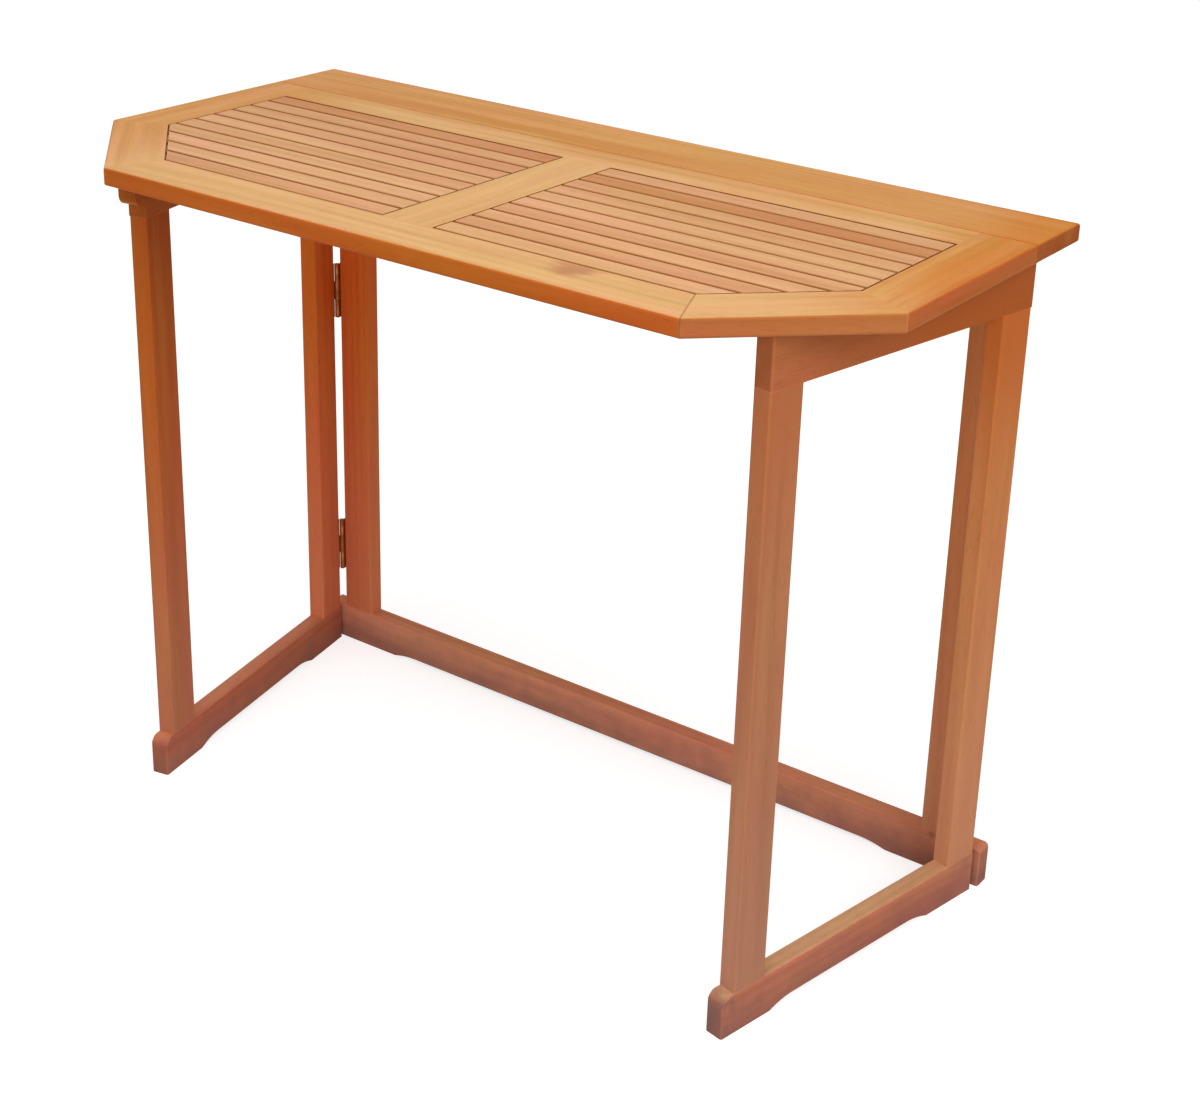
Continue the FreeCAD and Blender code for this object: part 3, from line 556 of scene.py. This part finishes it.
# How pieces are cut from a log: slant of grain, place along the log, place of the pith, width of rings
SLANT = (-1.2, 1.2)
LOG = (-3.0, 3.0)
PITH_ASIDE = (0.03, 0.12)
PITH_BELOW = (-0.1, -0.05)
RING_WIDTH = (0.8, 1.3)


def make_effects():
    """Build the shared groups once."""
    if EFFECTS:
        return
    arris = worn_arris()
    EFFECTS["wood"] = oiled_hardwood(wood_figure(), arris, dust_and_post_light())
    EFFECTS["brass"] = aged_brass(arris)
    for build in (painted_light_drift, knot, heart_streak, gap_grime, open_joint, shade):
        group = build()
        EFFECTS[group.name] = group


def new_material(name):
    material = bpy.data.materials.new(name)
    material.use_nodes = True
    tree = material.node_tree
    return material, tree, tree.nodes["Principled BSDF"]


def finish_surface(tree, shader, effect, relief):
    raised = {"Height": effect["Height"], "Strength": BUMP_STRENGTH, "Distance": relief}
    bump = add(tree, "ShaderNodeBump", raised)
    feed(tree, shader, {"Base Color": effect["Color"], "Roughness": effect["Roughness"],
                        "Normal": bump.outputs["Normal"]})


def middle_of(node):
    low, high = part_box(node)
    return (low + high) / 2


def oil(node, grain, lit_upper, oiled):
    """Give a piece oiled wood, cut from its own part of a log with the grain along the piece."""
    make_effects()
    finish = bpy.context.scene.balcony_finish
    draw = random.Random(node)
    turn_y, turn_z = grain
    turn = Euler((0.0, math.radians(turn_y), math.radians(turn_z + draw.uniform(*SLANT))))
    pith = Vector((draw.uniform(*LOG), draw.choice((-1, 1)) * draw.uniform(*PITH_ASIDE),
                   draw.uniform(*PITH_BELOW)))
    material, tree, shader = new_material(node + "_wood")
    where = add(tree, "ShaderNodeTexCoord").outputs
    shift = pith - turn.to_matrix() @ middle_of(node)
    laid = {"Vector": where["Object"], "Rotation": turn, "Location": shift}
    grained = add(tree, "ShaderNodeMapping", laid)
    aimed = {"Vector": where["Normal"], "Rotation": turn}
    turned = add(tree, "ShaderNodeMapping", aimed, vector_type="VECTOR")
    effect = nested(tree, EFFECTS["wood"], {
        "Place": where["Object"],
        "Grain": grained.outputs["Vector"],
        "Facing": where["Normal"],
        "Grain Facing": turned.outputs["Vector"],
        # Painted light: the paler tone for the faces that look up
        "Sunny Tone": rgba(lit_upper),
        "Oiled Tone": rgba(oiled),
        "Pore Tone": rgba(finish.pore),
        "Fade Tone": rgba(finish.fade),
        "Dust Tone": rgba(finish.dust),
        "Fading": finish.fading if "upright" in node else 0.0,
        "Figure": finish.figure,
        "Ring Spacing": finish.ring_spacing * draw.uniform(*RING_WIDTH),
        "Waviness": finish.waviness,
        "Arris Width": finish.arris,
        "Arris Wear": finish.wear,
        "Base Roughness": finish.roughness,
    })
    feed(tree, shader, {"Specular IOR Level": WOOD_SHEEN, "Specular Tint": OIL_TINT})
    finish_surface(tree, shader, effect, WOOD_RELIEF)
    slots = NODES[node].data.materials
    slots.clear()
    slots.append(material)
    return tree


def mark(node, effect, stain, **values):
    """Lay a mark, such as a knot, over the wood of a piece."""
    tree = NODES[node].data.materials[0].node_tree
    shader = tree.nodes["Principled BSDF"]
    links = {name.title(): value for name, value in values.items()}
    links["Color"] = shader.inputs["Base Color"].links[0].from_socket
    links["Place"] = tree.nodes["Texture Coordinate"].outputs["Object"]
    links["Tone"] = rgba(stain)
    feed(tree, shader, {"Base Color": nested(tree, EFFECTS[effect], links)["Color"]})


def brass_material(name):
    make_effects()
    finish = bpy.context.scene.balcony_finish
    material, tree, shader = new_material(name)
    effect = nested(tree, EFFECTS["brass"], {
        "Place": add(tree, "ShaderNodeTexCoord").outputs["Object"],
        "Brass Tone": rgba(finish.brass),
        "Tarnish Tone": rgba(finish.tarnish),
    })
    feed(tree, shader, {"Metallic": 1.0})
    finish_surface(tree, shader, effect, BRASS_RELIEF)
    return material


# Wooden pieces: directions that grain runs in, as turns about Y and Z that lay it along X
ALONG_WIDTH = (0.0, 0.0)
ALONG_DEPTH = (0.0, -90.0)
UPRIGHT = (90.0, 0.0)


def gate_heading(side):
    """Angle about Z at which a gate stands, from its rear post to its front one."""
    run = middle_of(side + "_gate_front_upright") - middle_of(side + "_gate_rear_upright")
    return math.atan2(run.y, run.x)


def corner_grain(side):
    """Direction of the mitred corner rail, from the ends of its outer edge: side is +1 on the right."""
    low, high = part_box("leaf_right_corner_rail")
    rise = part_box("leaf_right_rail")[0].y - low.y
    run = high.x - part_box("leaf_front_rail")[1].x
    return (0.0, -side * math.degrees(math.atan2(rise, run)))


class BALCONY_OT_finish_top(Operator):
    """Oil the rear board and the frame of the drop leaf"""
    bl_idname = "balcony.finish_top"
    bl_label = "Finish Top Rails"

    def execute(self, context):
        finish = context.scene.balcony_finish
        grains = {
            "rear_board": ALONG_WIDTH,
            "leaf_back_rail": ALONG_WIDTH,
            "leaf_front_rail": ALONG_WIDTH,
            "leaf_middle_rail": ALONG_DEPTH,
            "leaf_left_rail": ALONG_DEPTH,
            "leaf_right_rail": ALONG_DEPTH,
            "leaf_left_corner_rail": corner_grain(-1),
            "leaf_right_corner_rail": corner_grain(1),
        }
        for node, grain in grains.items():
            # Corner rails get sides painted paler, as painted light in the shaded gap at the slat ends
            side = finish.rail_side_lit if "corner" in node else finish.rail_side
            tree = oil(node, grain, finish.rail_pale, side)
            wood = tree.nodes["Group"]
            # Painted light and shade that drift over the top's upper faces
            drift = nested(tree, EFFECTS["sun drift"], {
                "Place": tree.nodes["Texture Coordinate"].outputs["Object"],
                "Pale Tone": rgba(finish.rail_pale),
                "Tan Tone": rgba(finish.rail_tan),
                "Amber Tone": rgba(finish.rail_amber),
            })
            feed(tree, wood, {"Sunny Tone": drift["Color"]})
        return {"FINISHED"}


class BALCONY_OT_finish_slats(Operator):
    """Oil the slats, each cut from a paler or a rosier board"""
    bl_idname = "balcony.finish_slats"
    bl_label = "Finish Slats"

    boards = {
        "left": "tawny rosy rosy rosy pale rosy pale pale pale rosy",
        "right": "rosy tawny rosy rosy pale pale rosy pale rosy pale",
    }

    def execute(self, context):
        finish = context.scene.balcony_finish
        for side, row in self.boards.items():
            for index, board in enumerate(row.split(), start=1):
                lit_upper = getattr(finish, "slat_" + board)
                oil(f"{side}_slat_{index:02d}", ALONG_WIDTH, lit_upper, finish.slat_side)
        return {"FINISHED"}


class BALCONY_OT_finish_rear_frame(Operator):
    """Oil the rear frame's uprights and rails"""
    bl_idname = "balcony.finish_rear_frame"
    bl_label = "Finish Rear Frame"

    def execute(self, context):
        finish = context.scene.balcony_finish
        pieces = {
            "frame_left_upright": (UPRIGHT, finish.leg_russet),
            "frame_right_upright": (UPRIGHT, finish.leg_amber),
            "frame_bottom_rail": (ALONG_WIDTH, finish.foot_pale),
            "frame_top_rail": (ALONG_WIDTH, finish.leg_ruddy),
        }
        for node, (grain, oiled) in pieces.items():
            oil(node, grain, finish.foot_top, oiled)
        return {"FINISHED"}


class BALCONY_OT_finish_gates(Operator):
    """Oil the two swinging gates, with the grain along each post and rail"""
    bl_idname = "balcony.finish_gates"
    bl_label = "Finish Gates"

    tones = {
        "left": ("leg_russet", "leg_deep", "leg_deep", "foot_deep", "foot_top"),
        "right": ("leg_amber", "leg_pale", "leg_ruddy", "foot_rosy", "foot_top_pale"),
    }

    def execute(self, context):
        finish = context.scene.balcony_finish
        for side, names in self.tones.items():
            rear, front, top, foot, lit_upper = [getattr(finish, name) for name in names]
            along_gate = (0.0, -math.degrees(gate_heading(side)))
            pieces = {
                "rear_upright": (UPRIGHT, rear),
                "front_upright": (UPRIGHT, front),
                "top_rail": (along_gate, top),
                "bottom_rail": (along_gate, foot),
            }
            for piece, (grain, oiled) in pieces.items():
                oil(f"{side}_gate_{piece}", grain, lit_upper, oiled)
        return {"FINISHED"}


class BALCONY_OT_finish_dowels(Operator):
    """Give the hidden mitre dowels their plain beech"""
    bl_idname = "balcony.finish_dowels"
    bl_label = "Finish Dowels"

    def execute(self, context):
        beech = context.scene.balcony_finish.dowel
        oil("leaf_mitre_dowels", ALONG_WIDTH, beech, beech)
        return {"FINISHED"}


# Marks on single pieces: the piece, the effect and its tone, how strongly it shows and where it lies
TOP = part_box("rear_board")[1].z
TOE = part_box("right_gate_bottom_rail")[0]
UPPER_POST = {"start": (0.0, 0.0, 0.46), "end": (0.0, 0.0, 0.67)}
MARKS = (
    ("rear_board", "heart streak", "heart",
     {"depth": 0.65, "start": (-0.52, 0.165, TOP), "end": (0.16, 0.172, TOP), "width": 0.024}),
    ("leaf_front_rail", "knot", "knot", {"depth": 0.6, "centre": (0.206, -0.194, TOP), "size": 0.034}),
    ("frame_bottom_rail", "knot", "knot", {"depth": 0.8, "centre": (0.42, 0.2, 0.042), "size": 0.007}),
    ("left_gate_bottom_rail", "knot", "knot",
     {"depth": 0.7, "centre": (-0.41, -0.09, 0.035), "size": 0.006}),
    # Painted shade under the top: the upper parts of the right gate's posts and the rear of its top rail
    ("right_gate_rear_upright", "shade", "leg_shade", {"depth": 1.0, **UPPER_POST}),
    ("right_gate_front_upright", "shade", "leg_ruddy", {"depth": 0.8, **UPPER_POST}),
    ("right_gate_top_rail", "shade", "rail_shade",
     {"depth": 1.0, "start": (0.0, -0.2, 0.0), "end": (0.0, 0.08, 0.0)}),
    ("right_gate_bottom_rail", "knot", "dust",
     {"depth": 0.7, "centre": (TOE.x, TOE.y, 0.025), "size": 0.04}),
)
GRIME_DEPTH = (0.5, 1.0)
SEAM_DEPTH = 0.55
SEAM_WIDTH = 0.0011


class BALCONY_OT_mark_wood(Operator):
    """Draw the rear board's dark streak, the knots, the dirty gaps and the one mitre that has opened"""
    bl_idname = "balcony.mark_wood"
    bl_label = "Mark Wood"

    def execute(self, context):
        finish = context.scene.balcony_finish
        in_gaps = [node for node in NODES if "_slat_" in node] + ["leaf_middle_rail", "leaf_back_rail"]
        draw = random.Random("gaps")
        for node in in_gaps:
            mark(node, "gap grime", finish.grime, depth=draw.uniform(*GRIME_DEPTH), level=TOP)
        for node, effect, stain, values in MARKS:
            mark(node, effect, getattr(finish, stain), **values)
        front_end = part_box("leaf_front_rail")[1]
        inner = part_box("leaf_right_corner_rail")[0]
        turn = math.radians(corner_grain(1)[1]) / 2
        joint = {"centre": (front_end.x, inner.y, TOP), "normal": (math.cos(turn), -math.sin(turn), 0.0)}
        for node in ("leaf_front_rail", "leaf_right_corner_rail"):
            mark(node, "open joint", finish.seam, depth=SEAM_DEPTH, width=SEAM_WIDTH, **joint)
        return {"FINISHED"}


# Fittings: sizes that their solids have
HINGE_LENGTH = 0.07
BARREL_RADIUS = 0.003
PIN_RADIUS = 0.0015
PLATE_START = 0.0034
PLATE_WIDTH = 0.015
PLATE_THICKNESS = 0.0015
KNUCKLE_LENGTH = HINGE_LENGTH / 3
KNUCKLE_GAP = 0.0002
GATE_PLATE_LEVEL = -0.002
SEAM_PLATE_LEVEL = 0.0015
SCREW_SPACING = 0.04
SCREW_HEAD = 0.0031
SCREW_SHANK = 0.0016
GATE_SCREW_LENGTH = 0.016
SEAM_SCREW_LENGTH = 0.012
BOARD_SCREW_HEAD = 0.0044
BOARD_SCREW_SHANK = 0.0022
BOARD_SCREW_COUNT = 4

# Fineness of their rounds, and limits that tell edges and faces apart
ROUND_STEPS = 32
CORNER_STEPS = 6
EDGE_STEPS = 2
ROUND_PROFILE = 0.5
WELD_DISTANCE = 1e-7
SHARP_ANGLE = 1.0
SMOOTH_ANGLE = math.radians(40.0)
FACES_ALONG = 0.9

# Domes, as shares of the radius and of the rise, and the reach of the recess as a share of the head
PIN_SHOULDER = (0.6, 0.8)
SCREW_DOME = ((0.0, 1.0), (0.4, 0.85), (0.75, 0.45))
RECESS_REACH = 0.62

# Axes and directions
X_AXIS = 0
Z_AXIS = 2
FORWARD = Vector((0.0, -1.0, 0.0))
BACKWARD = Vector((0.0, 1.0, 0.0))
UP = Vector((0.0, 0.0, 1.0))
DOWN = Vector((0.0, 0.0, -1.0))
SIDEWAYS = {"left": Vector((-1.0, 0.0, 0.0)), "right": Vector((1.0, 0.0, 0.0))}
RECESS_ARMS = (SIDEWAYS["right"], BACKWARD)


def stand(along, outward, place):
    """Matrix that lays a hinge leaf's X along the plate, its Y out of the wood, its Z along the pin."""
    turn = Matrix((along, outward, along.cross(outward))).transposed()
    return Matrix.Translation(place) @ turn.to_4x4()


def ease(shape, edges, width, segments):
    bmesh.ops.bevel(shape, geom=list(edges), offset=width, offset_type="OFFSET", affect="EDGES",
                    segments=segments, profile=ROUND_PROFILE, material=-1)


def sharp_edges(faces):
    return {edge for face in faces for edge in face.edges if edge.calc_face_angle(0.0) > SHARP_ANGLE}


def revolve(shape, profile):
    """Closed round solid from its profile, given as (radius, height) from one end of the axis on."""
    line = [shape.verts.new((radius, 0.0, height)) for radius, height in profile]
    runs = [shape.edges.new(pair) for pair in zip(line, line[1:])]
    bmesh.ops.spin(shape, geom=line + runs, cent=(0.0, 0.0, 0.0), axis=UP, angle=math.tau,
                   steps=ROUND_STEPS, use_merge=True)
    bmesh.ops.remove_doubles(shape, verts=shape.verts, dist=WELD_DISTANCE)
    bmesh.ops.recalc_face_normals(shape, faces=shape.faces)


def hinge_leaf(sizes, level, outer):
    """Hinge leaf: a plate with webs that run into its knuckles, the outer two or the middle one."""
    shape = bmesh.new()
    size = (PLATE_WIDTH, PLATE_THICKNESS, HINGE_LENGTH, 1.0)
    middle = Vector((PLATE_START + PLATE_WIDTH / 2, level + PLATE_THICKNESS / 2, 0.0))
    bmesh.ops.create_cube(shape, size=1.0, matrix=Matrix.Translation(middle) @ Matrix.Diagonal(size))
    far_corners = [edge for edge in shape.edges if all(v.co.x > middle.x for v in edge.verts)
                   and abs(edge.verts[0].co.y - edge.verts[1].co.y) > PLATE_THICKNESS / 2]
    ease(shape, far_corners, sizes.corner_radius, CORNER_STEPS)
    reach = KNUCKLE_LENGTH / 2 + (KNUCKLE_GAP / 2 if outer else -KNUCKLE_GAP / 2)
    for height in (-reach, reach):
        bmesh.ops.bisect_plane(shape, geom=shape.verts[:] + shape.edges[:] + shape.faces[:],
                               plane_co=UP * height, plane_no=UP)
    roots = [face for face in shape.faces if face.normal.x < -FACES_ALONG
             and (abs(face.calc_center_median().z) > reach) == outer]
    webs = bmesh.ops.extrude_discrete_faces(shape, faces=roots)["faces"]
    bmesh.ops.translate(shape, verts=[v for face in webs for v in face.verts],
                        vec=(-PLATE_START, 0.0, 0.0))
    shape.normal_update()
    outward = [face for face in shape.faces if face.normal.y > FACES_ALONG]
    ease(shape, sharp_edges(outward), sizes.edge_break, EDGE_STEPS)
    heights = (-KNUCKLE_LENGTH, KNUCKLE_LENGTH) if outer else (0.0,)
    for height in heights:
        ends = bmesh.ops.create_cone(
            shape, cap_ends=True, segments=ROUND_STEPS, radius1=BARREL_RADIUS, radius2=BARREL_RADIUS,
            depth=KNUCKLE_LENGTH - KNUCKLE_GAP, matrix=Matrix.Translation(UP * height))["verts"]
        caps = {face for vert in ends for face in vert.link_faces if len(face.verts) == ROUND_STEPS}
        ease(shape, {edge for face in caps for edge in face.edges}, sizes.edge_break, EDGE_STEPS)
    return shape


def hinge_pin(sizes):
    shape = bmesh.new()
    end = HINGE_LENGTH / 2
    width, rise = PIN_SHOULDER
    upper = [(PIN_RADIUS, end), (PIN_RADIUS * width, end + sizes.dome * rise), (0.0, end + sizes.dome)]
    lower = [(radius, -height) for radius, height in reversed(upper)]
    revolve(shape, lower + upper)
    return shape


def crossed_screw(sizes, head, shank, depth):
    """Raised countersunk screw with a crossed recess, which drives down from the origin."""
    shape = bmesh.new()
    dome = [(head * width, sizes.dome * rise) for width, rise in SCREW_DOME]
    taper = depth - 2 * shank
    revolve(shape, [*dome, (head, 0.0), (shank, shank - head), (shank, -taper), (0.0, -depth)])
    half = sizes.recess_width / 2
    reach = head * RECESS_REACH
    for axis in RECESS_ARMS:
        for offset in (-reach, -half, half, reach):
            lid = [face for face in shape.faces if face.calc_center_median().z > 0.0]
            parts = {part for face in lid for part in (*face.verts, *face.edges)}
            bmesh.ops.bisect_plane(shape, geom=[*parts, *lid], plane_co=axis * offset, plane_no=axis)

    def in_recess(face):
        middle = face.calc_center_median()
        short, long = sorted((abs(middle.x), abs(middle.y)))
        return middle.z > 0.0 and short < half and long < reach

    recess = [face for face in shape.faces if in_recess(face)]
    floor = bmesh.ops.extrude_face_region(shape, geom=recess)["geom"]
    bmesh.ops.translate(shape, verts=[part for part in floor if isinstance(part, bmesh.types.BMVert)],
                        vec=DOWN * sizes.recess_depth)
    bmesh.ops.recalc_face_normals(shape, faces=shape.faces)
    return shape


def new_object(name, data):
    thing = bpy.data.objects.new(name, data)
    bpy.context.scene.collection.objects.link(thing)
    return thing


def fit(node, shape, places, material):
    """One piece of equal shapes at their places, which stands for a node and rides as it does."""
    single = bpy.data.meshes.new(node + "_single")
    shape.to_mesh(single)
    shape.free()
    row = bmesh.new()
    for place in places:
        copy = single.copy()
        copy.transform(place)
        row.from_mesh(copy)
        bpy.data.meshes.remove(copy)
    bpy.data.meshes.remove(single)
    mesh = bpy.data.meshes.new(node + "_fitted")
    row.to_mesh(mesh)
    row.free()
    mesh.polygons.foreach_set("use_smooth", [True] * len(mesh.polygons))
    mesh.set_sharp_from_angle(angle=SMOOTH_ANGLE)
    mesh.materials.append(material)
    piece = new_object(node + "_fitted", mesh)
    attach(piece, NODES[node]["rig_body"])
    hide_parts(node)


def hinge_middles(pins, axis):
    """Middles of the two hinges whose pins are one node, in line along an axis."""
    low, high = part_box(pins)
    middles = [middle_of(pins), middle_of(pins)]
    middles[0][axis] = low[axis] + HINGE_LENGTH / 2
    middles[1][axis] = high[axis] - HINGE_LENGTH / 2
    return middles


def gate_hinge_places(side):
    """Places of a side's hinge leaves on the rear frame and on its open gate."""
    middles = hinge_middles(side + "_hinge_pins", Z_AXIS)
    folded = 0.0 if side == "left" else math.pi
    swing = Matrix.Rotation(gate_heading(side) - folded, 4, "Z")
    on_frame = [stand(BACKWARD, SIDEWAYS[side], middle) for middle in middles]
    on_gate = [Matrix.Translation(middle) @ swing @ stand(FORWARD, SIDEWAYS[side], Vector())
               for middle in middles]
    return on_frame, on_gate


def seam_hinge_places():
    """Places of the seam's hinge leaves on the rear board and on the drop leaf."""
    middles = hinge_middles("seam_hinge_pins", X_AXIS)
    on_board = [stand(BACKWARD, DOWN, middle) for middle in middles]
    on_leaf = [stand(FORWARD, DOWN, middle) for middle in middles]
    return on_board, on_leaf


def any_turn(draw):
    """Turn of a screw about its axis, as it happened to stop."""
    return Matrix.Rotation(draw.uniform(0.0, math.pi), 4, "Z")


def plate_screw_places(leaves, level, draw):
    """Places of two screws on each hinge leaf."""
    places = []
    for leaf in leaves:
        for height in (-SCREW_SPACING / 2, SCREW_SPACING / 2):
            head = Matrix.Translation((PLATE_START + PLATE_WIDTH / 2, level + PLATE_THICKNESS, height))
            outward = Matrix.Rotation(-math.pi / 2, 4, "X")
            places.append(leaf @ head @ outward @ any_turn(draw))
    return places


def fit_hinges(sizes, names, level, places, material):
    """Fit two hinges: the leaves that stay, the leaves that move and the pins."""
    staying, moving, pins = names
    at_rest, on_mover = places
    fit(staying, hinge_leaf(sizes, level, True), at_rest, material)
    fit(moving, hinge_leaf(sizes, level, False), on_mover, material)
    fit(pins, hinge_pin(sizes), at_rest, material)


class BALCONY_OT_fit_gate_hinges(Operator):
    """Fit the four butt hinges between the gates and the rear frame"""
    bl_idname = "balcony.fit_gate_hinges"
    bl_label = "Fit Gate Hinges"

    def execute(self, context):
        sizes = context.scene.balcony_fittings
        brass = brass_material("gate_hinge_brass")
        for side in ("left", "right"):
            names = (side + "_hinge_frame_leaves", side + "_gate_hinge_leaves", side + "_hinge_pins")
            fit_hinges(sizes, names, GATE_PLATE_LEVEL, gate_hinge_places(side), brass)
        return {"FINISHED"}


class BALCONY_OT_fit_seam_hinges(Operator):
    """Fit the two hinges sunk into the underside along the seam of the top"""
    bl_idname = "balcony.fit_seam_hinges"
    bl_label = "Fit Seam Hinges"

    def execute(self, context):
        sizes = context.scene.balcony_fittings
        brass = brass_material("seam_hinge_brass")
        names = ("seam_hinge_board_leaves", "seam_hinge_leaf_leaves", "seam_hinge_pins")
        fit_hinges(sizes, names, SEAM_PLATE_LEVEL, seam_hinge_places(), brass)
        return {"FINISHED"}


class BALCONY_OT_drive_screws(Operator):
    """Drive the screws of the hinges and of the rear board"""
    bl_idname = "balcony.drive_screws"
    bl_label = "Drive Screws"

    def execute(self, context):
        sizes = context.scene.balcony_fittings
        brass = brass_material("screw_brass")
        draw = random.Random("screws")
        left_frame, left_gate = gate_hinge_places("left")
        right_frame, right_gate = gate_hinge_places("right")
        on_board, on_leaf = seam_hinge_places()
        rows = {
            "frame_hinge_screws": (left_frame + right_frame, GATE_PLATE_LEVEL, GATE_SCREW_LENGTH),
            "left_gate_hinge_screws": (left_gate, GATE_PLATE_LEVEL, GATE_SCREW_LENGTH),
            "right_gate_hinge_screws": (right_gate, GATE_PLATE_LEVEL, GATE_SCREW_LENGTH),
            "seam_hinge_board_screws": (on_board, SEAM_PLATE_LEVEL, SEAM_SCREW_LENGTH),
            "seam_hinge_leaf_screws": (on_leaf, SEAM_PLATE_LEVEL, SEAM_SCREW_LENGTH),
        }
        for node, (leaves, level, depth) in rows.items():
            screw = crossed_screw(sizes, SCREW_HEAD, SCREW_SHANK, depth)
            fit(node, screw, plate_screw_places(leaves, level, draw), brass)
        low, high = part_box("board_screws")
        middle = (low.y + high.y) / 2
        first = Vector((low.x + BOARD_SCREW_HEAD, middle, low.z))
        last = Vector((high.x - BOARD_SCREW_HEAD, middle, low.z))
        upward = Matrix.Rotation(math.pi, 4, "X")
        heads = [first.lerp(last, index / (BOARD_SCREW_COUNT - 1)) for index in range(BOARD_SCREW_COUNT)]
        places = [Matrix.Translation(head) @ upward @ any_turn(draw) for head in heads]
        screw = crossed_screw(sizes, BOARD_SCREW_HEAD, BOARD_SCREW_SHANK, high.z - low.z)
        fit("board_screws", screw, places, brass)
        return {"FINISHED"}


# Stage: the camera of the photo, in metres, degrees and millimetres
CAMERA_PLACE = (1.2586, -1.6232, 1.325)
CAMERA_TURN = (68.4877, -1.9304, 35.1661)
CAMERA_LENS = 62.852
CAMERA_SHIFT = (-0.0333, -0.1325)
SENSOR_WIDTH = 36.0
FLOOR_ROUGHNESS = 0.9

# Lamps that aim at the table: the setting of their power, their place and their size
AIM = Vector((0.0, 0.0, 0.45))
LAMPS = {
    "key_lamp": ("key", (2.4, -1.2, 2.2), 1.8),
    "top_lamp": ("top_light", (0.1, -0.6, 2.6), 1.6),
    "fill_lamp": ("fill", (1.0, -2.72, 0.55), 1.6),
}


def towards_camera(tree):
    """1 for rays that show the stage itself: straight, mirrored or through glass."""
    path = add(tree, "ShaderNodeLightPath").outputs
    seen = maths(tree, "MAXIMUM", path["Is Camera Ray"], path["Is Glossy Ray"])
    return maths(tree, "MAXIMUM", seen, path["Is Transmission Ray"])


class BALCONY_OT_set_stage(Operator):
    """Lay the pale floor, hang the soft lamps and stand the camera"""
    bl_idname = "balcony.set_stage"
    bl_label = "Set Stage"

    def lay_floor(self, stage):
        mesh = bpy.data.meshes.new("studio_floor")
        shape = bmesh.new()
        bmesh.ops.create_grid(shape, x_segments=1, y_segments=1, size=stage.floor_size / 2)
        shape.to_mesh(mesh)
        shape.free()
        floor = new_object("studio_floor", mesh)
        material, tree, shader = new_material("studio_floor")
        feed(tree, shader, {
            "Base Color": rgba(stage.floor),
            "Roughness": FLOOR_ROUGHNESS,
            "Specular IOR Level": 0.0,
            "Emission Color": WHITE,
            "Emission Strength": times(tree, towards_camera(tree), stage.floor_glow),
        })
        mesh.materials.append(material)

    def light_sky(self, stage):
        world = bpy.data.worlds.new("studio_sky")
        bpy.context.scene.world = world
        world.use_nodes = True
        tree = world.node_tree
        level = ramp(tree, towards_camera(tree), 0.0, 1.0, stage.sky, 1.0)
        feed(tree, tree.nodes["Background"], {"Color": WHITE, "Strength": level})

    def hang_lamp(self, name, place, size, energy):
        lamp = bpy.data.lights.new(name, "AREA")
        lamp.shape = "DISK"
        lamp.size = size
        lamp.energy = energy
        holder = new_object(name, lamp)
        holder.location = place
        holder.rotation_euler = (AIM - Vector(place)).to_track_quat("-Z", "Y").to_euler()

    def stand_camera(self):
        camera = bpy.data.cameras.new("photo_camera")
        camera.sensor_width = SENSOR_WIDTH
        camera.lens = CAMERA_LENS
        camera.shift_x, camera.shift_y = CAMERA_SHIFT
        holder = new_object("photo_camera", camera)
        holder.location = CAMERA_PLACE
        holder.rotation_euler = [math.radians(turn) for turn in CAMERA_TURN]
        bpy.context.scene.camera = holder

    def execute(self, context):
        stage = context.scene.balcony_stage
        context.scene.view_settings.view_transform = "Standard"
        self.lay_floor(stage)
        self.light_sky(stage)
        for name, (setting, place, size) in LAMPS.items():
            self.hang_lamp(name, place, size, getattr(stage, setting))
        self.stand_camera()
        return {"FINISHED"}


class BALCONY_PT_table(Panel):
    """Steps and settings of the folding balcony table"""
    bl_idname = "BALCONY_PT_table"
    bl_label = "Folding Balcony Table"
    bl_space_type = "VIEW_3D"
    bl_region_type = "UI"
    bl_category = "Balcony Table"

    def draw(self, context):
        for step in STEPS:
            self.layout.operator(step.bl_idname)
        for group in SETTINGS:
            settings = getattr(context.scene, group)
            column = self.layout.column(align=True)
            for name in settings.__annotations__:
                column.prop(settings, name)


STEPS = (
    BALCONY_OT_finish_top,
    BALCONY_OT_finish_slats,
    BALCONY_OT_finish_rear_frame,
    BALCONY_OT_finish_gates,
    BALCONY_OT_finish_dowels,
    BALCONY_OT_mark_wood,
    BALCONY_OT_fit_gate_hinges,
    BALCONY_OT_fit_seam_hinges,
    BALCONY_OT_drive_screws,
    BALCONY_OT_set_stage,
)
SETTINGS = {
    "balcony_finish": TableFinish,
    "balcony_fittings": TableFittings,
    "balcony_stage": TableStage,
}
CLASSES = (*SETTINGS.values(), *STEPS, BALCONY_PT_table)


def register():
    for kind in CLASSES:
        bpy.utils.register_class(kind)
    for name, kind in SETTINGS.items():
        setattr(bpy.types.Scene, name, PointerProperty(type=kind))


def unregister():
    for name in SETTINGS:
        delattr(bpy.types.Scene, name)
    for kind in reversed(CLASSES):
        bpy.utils.unregister_class(kind)


def main():
    register()
    bpy.ops.balcony.finish_top()
    bpy.ops.balcony.finish_slats()
    bpy.ops.balcony.finish_rear_frame()
    bpy.ops.balcony.finish_gates()
    bpy.ops.balcony.finish_dowels()
    bpy.ops.balcony.mark_wood()
    bpy.ops.balcony.fit_gate_hinges()
    bpy.ops.balcony.fit_seam_hinges()
    bpy.ops.balcony.drive_screws()
    bpy.ops.balcony.set_stage()


if __name__ == "__main__":
    main()
